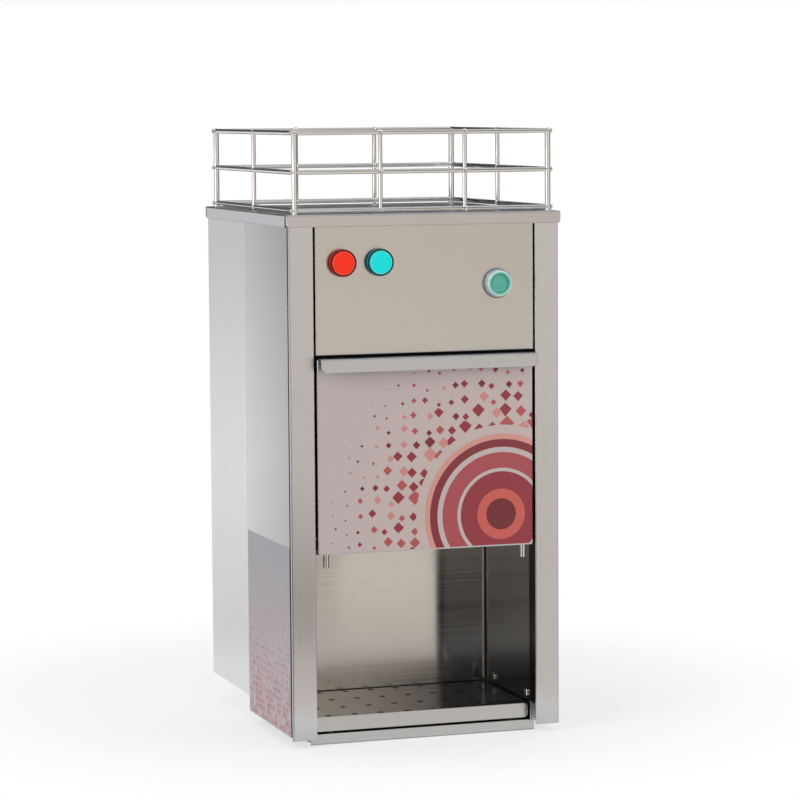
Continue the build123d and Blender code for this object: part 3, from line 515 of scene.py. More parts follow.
def lozenges(tree: NodeTree, pitch: float, amount: Socket, inks: Stops, ground: Socket, scatter: float) -> Socket:
    """Scatters lozenges in a few inks over a ground colour.

    Args:
        tree: Node tree of the material.
        pitch: Mean distance between lozenges in millimetres.
        amount: Size of the lozenges by place, as a share of the pitch.
        inks: Stops that pick each lozenge's ink.
        ground: Colour under the lozenges.
        scatter: How far the lozenges leave an even grid, from 0 to 1.

    Returns:
        Colour of the print.
    """
    smallest, variation = 0.5, 0.6
    axes = split(tree, coordinates(tree))
    across = calculate(tree, "ADD", axes["X"], axes["Y"])
    sheet = add_node(tree, "ShaderNodeCombineXYZ", {"X": across, "Y": axes["Z"]}).outputs["Vector"]
    cells = add_node(tree, "ShaderNodeTexVoronoi", {
        "Vector": sheet, "Scale": 1 / (pitch * MM), "Randomness": scatter},
        voronoi_dimensions="2D", distance="MANHATTAN").outputs
    pick = add_node(tree, "ShaderNodeSeparateColor", {"Color": cells["Color"]}).outputs
    ink = ramp(tree, pick["Red"], inks, sharp=True)
    size = calculate(tree, "MULTIPLY", amount, calculate(tree, "MULTIPLY_ADD", pick["Green"], variation, smallest))
    return blend(tree, calculate(tree, "LESS_THAN", cells["Distance"], size), ground, ink)


@dataclass(frozen=True)
class DoorDesign:
    """Generic arcs in a lower corner with lozenges that thin out towards the opposite one.

    Stops of paper and bands, and the field of lozenges, are shares of the reach from the arcs' centre; the last band
    ends the arcs. Centre, reach and pitch are in millimetres.
    """

    centre: Span = (84.0, 240.0)
    reach: float = 240.0
    pitch: float = 15.0
    scatter: float = 0.55
    field: Span = (0.40, 0.85)
    largest: float = 0.55
    paper: Stops = ((0.0, "#B7A4A0"), (0.5, "#BCABA8"), (1.0, "#B9ACAE"))
    bands: Stops = ((0.0, "#6A1420"), (0.07, "#C0524A"), (0.11, "#8A2231"), (0.19, "#B9A9A7"), (0.205, "#A04148"),
                    (0.275, "#B9A9A7"), (0.30, "#7A1F2C"), (0.335, "#C98C80"), (0.36, "#B9A9A7"))
    inks: Stops = ((0.0, "#8A2231"), (0.35, "#A94A4C"), (0.6, "#701A26"), (0.8, "#C2807A"))

    def __call__(self, tree: NodeTree) -> Socket:
        """Draws the door's print and returns its colour."""
        moved = add_node(tree, "ShaderNodeMapping", {
            "Vector": coordinates(tree), "Location": (-self.centre[0] * MM, 0.0, -self.centre[1] * MM),
            "Scale": (1.0, 0.0, 1.0)}).outputs["Vector"]
        share = calculate(tree, "DIVIDE", length(tree, moved), self.reach * MM)
        drawn = calculate(tree, "LESS_THAN", share, self.bands[-1][0])
        ground = blend(tree, drawn, ramp(tree, share, self.paper), ramp(tree, share, self.bands, sharp=True))
        amount = map_range(tree, share, *self.field, self.largest, 0.0)
        outer = calculate(tree, "GREATER_THAN", share, self.field[0])
        shown = calculate(tree, "MULTIPLY", amount, outer)
        return lozenges(tree, self.pitch, shown, self.inks, ground, self.scatter)


@dataclass(frozen=True)
class SideDesign:
    """Generic even field of small lozenges, dense at the foot and gone at the top of a height in millimetres."""

    up: Span = (12.0, 195.0)
    pitch: float = 7.5
    scatter: float = 0.25
    gone: float = 0.95
    largest: float = 0.62
    paper: Stops = ((0.0, "#AB9297"), (0.5, "#A79AA0"), (1.0, "#98959C"))
    inks: Stops = ((0.0, "#A86E78"), (0.4, "#9C5C68"), (0.7, "#BE959B"), (0.88, "#B9AEB2"))

    def __call__(self, tree: NodeTree) -> Socket:
        """Draws the side film's print and returns its colour."""
        low, high = (height * MM for height in self.up)
        rise = map_range(tree, split(tree, coordinates(tree))["Z"], low, high)
        amount = map_range(tree, rise, 0.0, self.gone, self.largest, 0.0)
        return lozenges(tree, self.pitch, amount, self.inks, ramp(tree, rise, self.paper), self.scatter)


def lens_finishes(name: str, rim: str, wall: str, edge: str, face: str) -> list[Finish]:
    """Makes the finishes of a lens's rim, wall, edge and face from their colours; the edge is a painted highlight and
    the wall is partly one.
    """
    return [ClearPlastic(f"{name}_rim", rim, 0.30, ior=1.58, through=0.0, gloss=0.05),
            ClearPlastic(f"{name}_wall", wall, 0.12, ior=1.58, through=0.1, gloss=0.1),
            ClearPlastic(f"{name}_edge", edge, 0.12, ior=1.58, through=0.1),
            GrainedSolid(f"{name}_face", face, 0.22, grit=2.4, contrast=0.07, gloss=0.25)]


# Cold-rolled stainless with a ground satin face: grey with a warm cast and fine parallel lines
# Posts: painted shade darkens their foot, their returns into the bay, their outer corners and their side returns
UPRIGHT_STEEL = PostSteel("stainless_satin_upright", "#D6D7DC", 0.24, contrast=0.11, stretch=0.85,
                          axis="Z", fade=(8.5, 32.0), shaded_tone=0.8)
ACROSS_STEEL = BrushedSteel("stainless_satin_across", "#D6D5D4", 0.24, grain=Grain.ACROSS, line_width=1.0,
                            depth=0.0015)
DOOR_STEEL = BrushedSteel("stainless_satin_door", "#D0D4DA", 0.24, grain=Grain.ACROSS, fold=1.0)
# Base: a narrow band of painted shadow along its lowest edge, where it meets the floor
BASE_STEEL = ShadePaintedSteel("stainless_satin_base", "#C6C5C4", 0.26, grain=Grain.ACROSS, fade=(0.3, 1.8), shaded_tone=0.4)
# Sides: painted shade, darker towards the front and in the folds beside the posts
SIDE_STEEL = FoldedSteel("stainless_satin_side", "#D2D2D3", 0.22, contrast=0.05, shaded_tone=0.7)
REAR_STEEL = BrushedSteel("stainless_satin_rear", "#DEDEDF", 0.22, contrast=0.05)
# Cap: a thin line of painted shade along the foot of its skirt, and painted shade in its folds behind the front
CAP_STEEL = FoldedSteel("stainless_satin_cap", "#D5D6DA", 0.24, grain=Grain.ACROSS, line_width=1.2,
                        node="top_cap", skin=0.1, edge=(3.0, 20.0), roof=1.7,
                        axis="Z", fade=(550.5, 552.0), shaded_tone=0.75)
# Stainless finely ground along the bay: dark reflections, drawn out across the lines; painted shade darkens the sheets
# towards the bay's floor
BACK_STEEL = ShadePaintedSteel("stainless_fine_across", "#D4D3D2", 0.15, grain=Grain.ACROSS, stretch=0.9, contrast=0.05,
                        shaded_tone=0.75)
WALL_STEEL = ShadePaintedSteel("stainless_fine_deep", "#CBCAC8", 0.17, grain=Grain.DEEP, stretch=0.3, contrast=0.04,
                        shaded_tone=0.3)
# Perforated stainless, ground along its length, with painted shade in its holes and along its edges
PLATE_STEEL = PunchedSteel("stainless_punched_across", "#C6C3BF", 0.16, grain=Grain.ACROSS, contrast=0.12)
# Stainless straight from the mill: almost a mirror, with faint rolling lines
MILL_STEEL = BrushedSteel("stainless_mill_upright", "#C9C5C0", 0.12, line_width=1.2, contrast=0.03, stretch=0.3)
# Drawn stainless rod, polished: clear bright and dark lines along each rod
ROD_STEEL = BrushedSteel("stainless_rod_polished", "#E6E6E6", 0.10, line_width=0.5, contrast=0.03, stretch=0.0)
# Stainless weld, ground and wire-brushed: soft bright line
WELD_STEEL = GrainedSolid("stainless_weld_brushed", "#F4F2F0", 0.55, 1.0, grit=0.8, depth=0.01, contrast=0.05)
# Nickel-plated steel: small bright heads; tumbled pegs with a soft, wide highlight
PLATED_STEEL = GrainedSolid("steel_nickel_plated", "#DCDAD6", 0.14, 1.0, grit=0.8, depth=0.004, contrast=0.03)
PEG_STEEL = GrainedSolid("steel_nickel_tumbled", "#E8E6E3", 0.20, 1.0, grit=0.8, depth=0.006, contrast=0.04)
# Blackened steel: dark pins and rail with a faint oily sheen; their black is painted shade that keeps the gaps round
# the door dark
BLACK_SHADE_STEEL = GrainedSolid("steel_blackened_painted_shade", "#2B2B2D", 0.38, 1.0, grit=0.6, depth=0.01)
# Stainless turned on a lathe: soft rings about the bowl's axis
PRESS_STEEL = TurnedSteel("stainless_turned", "#C4C2BE", 0.28,
                          axis_y=sum(corner.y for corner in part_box("press_bowl")) / 2)
# Mild steel, milled and lightly oiled: darker, with a fine grain
MILLED_STEEL = GrainedSolid("steel_milled_oiled", "#8B8B8D", 0.34, 1.0, grit=0.6, depth=0.012)
# Tin bronze as cast and bored: warm brown gold
BRONZE = GrainedSolid("bronze_bored", "#B48A4E", 0.32, 1.0, grit=0.7, depth=0.012)
# Grey cast iron, sand cast: dull and pitted
CAST_IRON = GrainedSolid("iron_sand_cast", "#4A4B4D", 0.62, 0.6, grit=1.4, depth=0.15)
# Stoving enamel over die-cast aluminium: even dark blue grey with a slight orange peel
MOTOR_ENAMEL = GrainedSolid("enamel_stoved", "#3F4B55", 0.38, grit=2.5, depth=0.05, coat=0.3)
# Natural rubber, pressed: black and dull
RUBBER = GrainedSolid("rubber_pressed", "#1C1C1D", 0.75, grit=0.8, depth=0.06)
# Black line of painted shade beside each bay weld, with a weak sheen
SHADE_LINE_BLACK = GrainedSolid("black_painted_shade_line", "#0A0A0B", 0.75, grit=1.2)
# Glass-filled polyamide, spark-eroded mould: black, matt
BLACK_POLYAMIDE = GrainedSolid("polyamide_black_moulded", "#1E1E20", 0.55)
# ABS, spark-eroded mould: mid grey, matt
GREY_ABS = GrainedSolid("abs_grey_moulded", "#8F9396", 0.48)
# Polycarbonate lens, polished mould: deep colour at the rim, a lighter side that is partly painted highlight, a thin
# ring of painted highlight round the face, bright over the diffuser
RED_LENS = lens_finishes("polycarbonate_red", "#700704", "#CC3C28", "#FF7A62", "#F82E12")
TEAL_LENS = lens_finishes("polycarbonate_teal", "#02464A", "#1E9096", "#9AF2EC", "#00DEDC")
# Silicone rubber, moulded: smoky at the ribbed foot, cloudy clear above, a milky shoulder whitened in part as painted
# highlight, teal where the button shines through
SILICONE_FOOT = ClearPlastic("silicone_smoky_moulded", "#737A85", 0.20, ior=1.41, through=0.1)
SILICONE_WALL = ClearPlastic("silicone_clear_moulded", "#BECBD4", 0.14, ior=1.41, through=0.15)
SILICONE_SHOULDER = ClearPlastic("silicone_milky_painted_highlight", "#E2F4EE", 0.06, ior=1.41, through=0.15, depth=0.2)
SILICONE_NOSE = ClearPlastic("silicone_teal_moulded", "#90DCCA", 0.07, ior=1.41, through=0.15)
# ABS, polished mould: soft green under a thin gloss
BUTTON_ABS = GrainedSolid("abs_green_moulded", "#50AA97", 0.22, grit=0.9, depth=0.01, coat=0.3)
# Self-adhesive vinyl, printed and laminated: flat inks under a soft gloss
DOOR_FILM = PrintedFilm("vinyl_printed_door", "#B9A9A7", 0.35, design=DoorDesign())
SIDE_FILM = PrintedFilm("vinyl_printed_side", "#B8ABB0", 0.40, design=SideDesign())


def dress(finish: Finish, *nodes: str) -> None:
    """Gives CAD nodes a finish.

    Args:
        finish: The finish.
        nodes: Names of the nodes.
    """
    for name in nodes:
        for place in frame["nodes"][name].material_slots:
            place.material = finish.material()
    LOG.info("%s dresses %s", finish.name, ", ".join(nodes))


def make_object(name: str, shape: Shape) -> bpy.types.Object:
    """Makes an object from a mesh, which is freed, and puts it in the scene."""
    mesh = bpy.data.meshes.new(name)
    shape.to_mesh(mesh)
    shape.free()
    made = bpy.data.objects.new(name, mesh)
    bpy.context.scene.collection.objects.link(made)
    return made


def add_piece(name: str, shape: Shape, finishes: Iterable[Finish], body: str,
              sharp: float = FLAT_SHARP) -> bpy.types.Object:
    """Makes a piece from a mesh and sets it on a body.

    Args:
        name: Name of the piece.
        shape: Mesh in the part's frame, freed afterwards.
        finishes: Finishes in the order of the faces' material numbers.
        body: Body that the piece moves with.
        sharp: Angle in degrees above which an edge stays sharp.

    Returns:
        The new object.
    """
    bmesh.ops.recalc_face_normals(shape, faces=shape.faces)
    piece = make_object(name, shape)
    piece.data.shade_smooth()
    piece.data.set_sharp_from_angle(angle=math.radians(sharp))
    for finish in finishes:
        piece.data.materials.append(finish.material())
    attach(piece, body)
    LOG.info("piece %s rides on %s", name, body)
    return piece


def full_turn(steps: int) -> list[float]:
    """Divides a full turn into even steps and returns their angles."""
    return [math.tau * step / steps for step in range(steps)]


def turn(shape: Shape, profile: Profile, centre: Vector, steps: int,
         ribs: Callable[[int, int], float] = lambda ring, step: 0.0) -> None:
    """Turns a profile about an axis along Y.

    Args:
        shape: Mesh that takes the faces.
        profile: Radius and reach towards -Y of each ring, in millimetres, and the material number of the band
            after it; a first or last radius of 0 closes the shape.
        centre: Point on the axis at reach 0.
        steps: Faces round the axis.
        ribs: Extra radius in millimetres by ring and step.
    """
    rings = []
    for ring, (radius, reach, _) in enumerate(profile):
        row = []
        for step, angle in enumerate(full_turn(steps) if radius else [0.0]):
            out = (radius + ribs(ring, step)) * MM if radius else 0.0
            row.append(shape.verts.new(centre + Vector((out * math.cos(angle), -reach * MM, out * math.sin(angle)))))
        rings.append(row)
    for (_, _, finish), low, high in zip(profile, rings, rings[1:]):
        for step in range(steps):
            after = step + 1
            corners = [low[step % len(low)], low[after % len(low)], high[after % len(high)], high[step % len(high)]]
            face = shape.faces.new(list(dict.fromkeys(corners)))
            face.material_index = finish


def tube(shape: Shape, rings: Sequence[Sequence[Vector]]) -> None:
    """Joins rings of points, as many in each, to a tube with closed ends."""
    rows = [[shape.verts.new(point) for point in ring] for ring in rings]
    for under, over in zip(rows, rows[1:]):
        for step, corner in enumerate(under):
            after = (step + 1) % len(under)
            shape.faces.new((corner, under[after], over[after], over[step]))
    shape.faces.new(rows[0])
    shape.faces.new(rows[-1])


def seat(node: str) -> tuple[Vector, float, float]:
    """Measures a round CAD node that stands out towards -Y.

    Args:
        node: Name of the node.

    Returns:
        Middle of its back, then its reach and its radius in millimetres.
    """
    low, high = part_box(node)
    middle = Vector(((low.x + high.x) / 2, high.y, (low.z + high.z) / 2))
    return middle, (high.y - low.y) / MM, (high.x - low.x) / 2 / MM


@dataclass
class Cabinet:
    """Steel sheets of the cabinet, base and bay."""

    def build(self) -> None:
        """Dresses every sheet along its own brushing."""
        dress(UPRIGHT_STEEL, "left_post", "right_post")
        dress(ACROSS_STEEL, "control_panel")
        dress(DOOR_STEEL, "front_door")
        dress(BASE_STEEL, "base_pan", "drip_pan")
        dress(SIDE_STEEL, "left_side_panel", "right_side_panel")
        dress(REAR_STEEL, "rear_housing", "rear_floor")
        dress(CAP_STEEL, "top_cap")
        dress(BACK_STEEL, "bulkhead")
        dress(WALL_STEEL, "left_inner_wall", "right_inner_wall")
        dress(MILL_STEEL, "chamber_floor", "juice_funnel", "juice_spout")
        dress(PLATE_STEEL, "drip_plate")
        dress(PLATED_STEEL, "wall_screws", "rear_cover_screws", "door_magnets", "panel_nuts")
        dress(PEG_STEEL, "door_pegs")
        # Painted shade: the black pins and mid rail keep the gaps round the door dark
        dress(BLACK_SHADE_STEEL, "door_hinge_pins", "mid_rail")
        dress(RUBBER, "base_pads", "rear_feet")
        dress(BLACK_POLYAMIDE, "cable_gland", "limit_switches", "lamp_bodies", "button_contact_block")
        dress(GREY_ABS, "control_box", "button_bezel")


@dataclass
class Press:
    """Press tools and drive behind the door."""

    def build(self) -> None:
        """Dresses the press, its gears and its motor."""
        dress(PRESS_STEEL, "press_bowl", "press_head")
        dress(MILLED_STEEL, "press_plate", "plate_brackets", "ram_rack", "pinion_shaft", "rack_pinion", "final_gear",
              "idler_gear", "idler_stub", "drive_gear", "output_shaft", "gear_plate")
        dress(BRONZE, "bearing_bushes", "ram_guide")
        dress(CAST_IRON, "bearing_blocks")
        dress(MOTOR_ENAMEL, "gearbox_case", "motor_can")


@dataclass
class BaySeams:
    """Joints up the two back corners of the bay: a bright ground weld and, beside it, a black line of painted shade in
    the gap.

    Sizes are in millimetres: each line's radius, how far its middle stands off the wall, and how far both stand off
    the back and the drip plate. The radius wavers by a share.
    """

    weld: float = 1.1
    weld_reach: float = 2.0
    shade_line: float = 1.4
    shade_line_reach: float = -0.4
    inset: float = 0.8
    foot_gap: float = 4.0
    steps: int = 12
    rows: int = 60
    waver: float = 0.08
    seed: int = 3

    def build(self) -> None:
        """Draws the weld and the line of painted shade in both corners."""
        self.line("bay_seams", self.weld, self.weld_reach, WELD_STEEL)
        self.line("bay_painted_shade_line", self.shade_line, self.shade_line_reach, SHADE_LINE_BLACK)

    def line(self, name: str, size: float, off: float, finish: Finish) -> None:
        """Draws one line in both corners, from the tray to the press chamber's floor.

        Args:
            name: Name of the piece.
            size: Radius in millimetres.
            off: How far its middle stands off the wall, in millimetres.
            finish: Its finish.
        """
        low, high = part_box("right_inner_wall")
        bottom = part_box("drip_plate")[1].z + self.foot_gap * MM
        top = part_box("chamber_floor")[0].z
        draw = random.Random(self.seed)
        shape = bmesh.new()
        for side in (-1, 1):
            centre = Vector((side * (low.x - off * MM), high.y - self.inset * MM, 0.0))
            rings = []
            for row in range(self.rows + 1):
                radius = size * MM * (1 + draw.uniform(-self.waver, self.waver))
                middle = centre + Vector((0, 0, bottom + (top - bottom) * row / self.rows))
                rings.append([middle + radius * Vector((math.cos(a), math.sin(a), 0)) for a in full_turn(self.steps)])
            tube(shape, rings)
        add_piece(name, shape, [finish], "cabinet", ROUND_SHARP)


@dataclass
class FruitBasket:
    """Rod basket on the cap with a weld bead, its mean radius in millimetres, at each crossing.

    Inner posts stand at a share of the half width, the middle rail at a share of the height.
    """

    bead: float = 3.5
    variation: Span = (0.92, 1.06)
    squash: float = 0.8
    post_share: float = 1 / 3
    rail_share: float = 40 / 81
    roundness: int = 3
    seed: int = 7

    def build(self) -> None:
        """Dresses the rods and adds the weld beads."""
        dress(ROD_STEEL, "basket_front", "basket_back", "basket_left", "basket_right")
        low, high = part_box("basket_left")
        radius = (high.x - low.x) / 2
        bottom, top = low.z + radius, high.z - radius
        heights = [bottom, bottom + (top - bottom) * self.rail_share, top]
        half = -(low.x + high.x) / 2
        for name in ("basket_front", "basket_back"):
            middle = sum(corner.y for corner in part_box(name)) / 2
            across = [-half, -half * self.post_share, half * self.post_share, half]
            self.weld(name, [Vector((x, middle, z)) for x in across for z in heights])
        for name, x in (("basket_left", -half), ("basket_right", half)):
            self.weld(name, [Vector((x, 0.0, z)) for z in heights])

    def weld(self, name: str, places: Sequence[Vector]) -> None:
        """Adds one grille's weld beads.

        Args:
            name: Name of the grille.
            places: Crossings of its rods.
        """
        draw = random.Random(self.seed)
        shape = bmesh.new()
        for place in places:
            sizes = [self.bead * MM * draw.uniform(*self.variation) for _ in range(3)]
            sizes[1] *= self.squash
            matrix = Matrix.Translation(place) @ Matrix.Diagonal((*sizes, 1.0))
            bmesh.ops.create_icosphere(shape, subdivisions=self.roundness, radius=1.0, matrix=matrix)
        add_piece(f"{name}_welds", shape, [ROD_STEEL], "cabinet", NEVER_SHARP)


@dataclass
class PilotLamp:
    """Pilot lamp: flange, tinted side lightened in part as painted highlight, dark rim, a thin ring of painted
    highlight and a bright slightly domed face. Sizes are in millimetres.
    """

    node: str
    slot: str
    finishes: Sequence[Finish]
    steps: int = 72
    flange: float = 2.0
    setback: float = 0.1
    rim_width: float = 2.1
    lip: float = 0.5

    def build(self) -> None:
        """Turns the lamp's head in place of the plain lens."""
        centre, reach, outer = seat(self.node)
        side = outer - self.setback
        inner = side - self.rim_width
        flange, lip = self.flange, self.lip
        # Material 1, the side, is lightened in part as painted highlight; material 2 is a thin ring of painted
        # highlight round the face
        profile = [(0, 0, 0), (outer, 0, 0), (outer, flange - 0.4, 0), (outer - 0.4, flange, 0),
                   (side - 0.5, flange + 0.1, 0), (side - 0.5, flange + 0.5, 0), (side, flange + 0.8, 1),
                   (side, reach - 2.2, 1), (side - 0.05, reach - 1.2, 0), (side - 0.15, reach - 0.5, 0),
                   (side - 0.3, reach - 0.15, 0), (side - 0.5, reach, 0), (inner + 0.1, reach - 0.05, 0),
                   (inner, reach - 0.4, 2), (inner - lip, reach - 0.25, 3), (inner - 2 * lip, reach - 0.4, 3),
                   (inner / 2, reach - 0.15, 3), (0, reach - 0.1, 3)]
        shape = bmesh.new()
        turn(shape, profile, centre, self.steps)
        piece = add_piece(f"{self.node}_head", shape, self.finishes, "cabinet")
        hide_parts(self.node)


@dataclass
class StartButton:
    """Start button: ribbed clear boot with a teal nose ring round a green disc, on a coil spring.

    Sizes are in millimetres.

    Attributes:
        ribbed: Rings of the boot's profile that have ribs.
        spread: How much wider the disc is than the plain one.
        well: Depth of the spring's room in the disc.
        crowding: How far the end coils close up, from 0 to 1.
    """

    rib_count: int = 36
    rib_steps: int = 4
    rib_height: float = 0.35
    ribbed: tuple[int, ...] = (2, 3)
    spread: float = 0.9
    slack: float = 0.15
    well: float = 12.0
    well_wall: float = 2.05
    disc_steps: int = 72
    wire: float = 0.5
    wire_steps: int = 8
    coils: float = 9.0
    coil_steps: int = 24
    crowding: float = 0.7
    travel: float = 4.0

    def build(self) -> None:
        """Makes the boot, the disc and the spring in place of the plain ones."""
        self.boot()
        self.disc()
        self.spring()

    def boot(self) -> None:
        """Turns the boot."""
        centre, reach, foot = seat("button_boot")
        bore = seat("button_cap")[2] + self.spread + self.slack
        profile = [(bore, 0, 0), (foot - 0.4, 0, 0), (foot, 0.4, 0), (foot, 1.0, 0), (foot - 0.4, 1.4, 0),
                   (foot - 0.6, 1.6, 1), (foot - 0.8, 2.4, 1), (foot - 1.2, 3.8, 1), (foot - 1.5, 4.3, 0),
                   (foot - 1.8, 4.5, 0), (foot - 1.7, 4.9, 2), (foot - 1.6, 5.3, 2), (foot - 1.7, reach - 1.8, 2),
                   (foot - 2.0, reach - 0.9, 2), (foot - 2.5, reach - 0.3, 2), (foot - 3.0, reach - 0.1, 3),
                   (foot - 3.5, reach - 0.5, 3), (bore + 1.2, reach, 3), (bore + 0.6, reach - 0.2, 3),
                   (bore + 0.1, reach - 0.8, 3), (bore, reach - 1.4, 3), (bore, reach - 3.0, 0), (bore, 0, 0)]
        shape = bmesh.new()
        turn(shape, profile, centre, self.rib_count * self.rib_steps, self.rib)
        # The milky shoulder, finish 2, is whitened in part as painted highlight
        finishes = [SILICONE_FOOT, SILICONE_WALL, SILICONE_SHOULDER, SILICONE_NOSE]
        piece = add_piece("button_boot_ribbed", shape, finishes, "cabinet", ROUND_SHARP)
        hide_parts("button_boot")

    def rib(self, ring: int, step: int) -> float:
        """Gives the boot's foot its ribs: extra radius of a ring at a step."""
        return self.rib_height if ring in self.ribbed and step % self.rib_steps < self.rib_steps / 2 else 0.0

    def disc(self) -> None:
        """Turns the pushed disc."""
        centre, reach, plain = seat("button_cap")
        outer = plain + self.spread
        room = outer - self.well_wall
        profile = [(0, self.well, 0), (room, self.well, 0), (room, 0, 0), (outer, 0, 0), (outer, reach - 1.0, 0),
                   (outer - 0.3, reach - 0.3, 0), (outer - 0.9, reach, 0), (outer - 1.8, reach, 0),
                   (outer - 2.3, reach - 0.5, 0), (outer - 3.0, reach - 0.7, 0), (0, reach - 0.8, 0)]
        shape = bmesh.new()
        turn(shape, profile, centre, self.disc_steps)
        piece = add_piece("button_cap_dished", shape, [BUTTON_ABS], "start_button")
        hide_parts("button_cap")

    def spring(self) -> None:
        """Winds the spring with close end coils; it shortens as the button goes in."""
        low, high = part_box("button_spring")
        middle = (low + high) / 2
        wire = self.wire * MM
        radius = (high.x - low.x) / 2 - wire
        free = high.y - low.y - 2 * wire
        count = round(self.coils * self.coil_steps)
        rings = []
        for ring in range(count + 1):
            share = ring / count
            angle = math.tau * self.coils * share
            eased = share - math.sin(math.tau * share) / math.tau * self.crowding
            out = Vector((math.cos(angle), 0, math.sin(angle)))
            centre = Vector((middle.x, low.y + wire + free * eased, middle.z)) + radius * out
            rings.append([centre + wire * (math.cos(a) * out + Vector((0, math.sin(a), 0)))
                          for a in full_turn(self.wire_steps)])
        shape = bmesh.new()
        tube(shape, rings)
        piece = add_piece("button_spring_wound", shape, [PLATED_STEEL], "cabinet", ROUND_SHARP)
        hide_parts("button_spring")
        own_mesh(piece)


@dataclass
class Films:
    """Printed films: one wrapped round the door's side edges, one on each front side panel.

    Sizes are in millimetres. door_lift and lip_height are the door film's distances from the foot and the top of
    the door, side_inset is the side films' distance from the edges of their panels.
    """

    thickness: float = 0.2
    corner: float = 2.0
    corner_steps: int = 6
    door_bend: float = 2.0
    wrap_angle: float = 65.0
    door_lift: float = 1.5
    lip_height: float = 13.3
    side_top: float = 213.0
    side_inset: float = 1.0

    def build(self) -> None:
        """Lays the films on their panels."""
        self.wrap_door()
        low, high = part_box("left_side_panel")
        inset = self.side_inset * MM
        outline = self.rounded((low.y + inset, high.y - inset), (low.z + inset, self.side_top * MM))
        turned = Matrix.Rotation(math.radians(90), 4, "Z")
        thick = Vector((0, -self.thickness * MM, 0))
        for name, side in (("left", -1), ("right", 1)):
            place = Matrix.Translation((side * -low.x, 0, 0)) @ Matrix.Diagonal((side, 1, 1, 1)) @ turned
            self.lay(f"{name}_side_film", outline, thick, place, SIDE_FILM, "cabinet")

    def wrap_door(self) -> None:
        """Lays the door's film over its face and round its two side edges."""
        low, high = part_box("front_door")
        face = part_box("control_panel")[0].y
        bottom = low.z + self.door_lift * MM
        tall = Vector((0, 0, high.z - self.lip_height * MM - bottom))
        bend = self.door_bend * MM
        angles = [math.radians(self.wrap_angle) * step / self.corner_steps for step in range(self.corner_steps + 1)]
        loops = []
        for reach in (bend + self.thickness * MM, bend):
            right = [Vector((high.x - bend + reach * math.sin(a), face + bend - reach * math.cos(a), bottom))
                     for a in angles]
            left = [Vector((-point.x, point.y, point.z)) for point in reversed(right)]
            loops.append(left + right)
        outline = loops[0] + loops[1][::-1]
        self.lay("door_film", outline, tall, Matrix.Identity(4), DOOR_FILM, "door")

    def rounded(self, across: Span, up: Span) -> list[Vector]:
        """Gives a rectangle with rounded corners in the plane of X and Z, in metres."""
        radius = self.corner * MM
        corners = ((across[1], up[1]), (across[0], up[1]), (across[0], up[0]), (across[1], up[0]))
        outline = []
        for number, (x, z) in enumerate(corners):
            inner = Vector((x - math.copysign(radius, x - sum(across) / 2), 0,
                            z - math.copysign(radius, z - sum(up) / 2)))
            for step in range(self.corner_steps + 1):
                angle = math.radians(90) * (number + step / self.corner_steps)
                outline.append(inner + radius * Vector((math.cos(angle), 0, math.sin(angle))))
        return outline

    def lay(self, name: str, outline: Sequence[Vector], way: Vector, place: Matrix, finish: Finish, body: str) -> None:
        """Makes one film by drawing an outline along a way.

        Args:
            name: Name of the film.
            outline: Corners of the outline in order, in metres.
            way: Way along which the outline is drawn, in metres.
            place: Carries the film to its panel.
            finish: Print of the film.
            body: Body that it moves with.
        """
        shape = bmesh.new()
        start = shape.faces.new([shape.verts.new(point) for point in outline])
        grown = bmesh.ops.extrude_face_region(shape, geom=[start])["geom"]
        moved = [part for part in grown if isinstance(part, bmesh.types.BMVert)]
        bmesh.ops.translate(shape, verts=moved, vec=way)
        bmesh.ops.transform(shape, matrix=place, verts=shape.verts)
        add_piece(name, shape, [finish], body)


@dataclass(frozen=True)
class Softbox:
    """A studio lamp that faces the juicer.

    Attributes:
        place: Its place in metres.
        size: Width and height of its face in metres.
        power: Its power in watts.
        mirrored: Whether glossy surfaces show it.
        lights: Whether it lights matt surfaces.
    """

    name: str
    place: tuple[float, float, float]
    size: Span
    power: float
    mirrored: bool = False
    lights: bool = True


@dataclass(frozen=True)
class Flag:
    """A graded gauze flag that only glossy surfaces show.

    Attributes:
        place: Where it stands along Y in metres.
        across: Its span along X in metres.
        up: Its span along Z in metres.
        tones: Share of light that it lets through, by share of its height.
    """

    name: str
    place: float
    across: Span
    up: Span
    tones: Stops


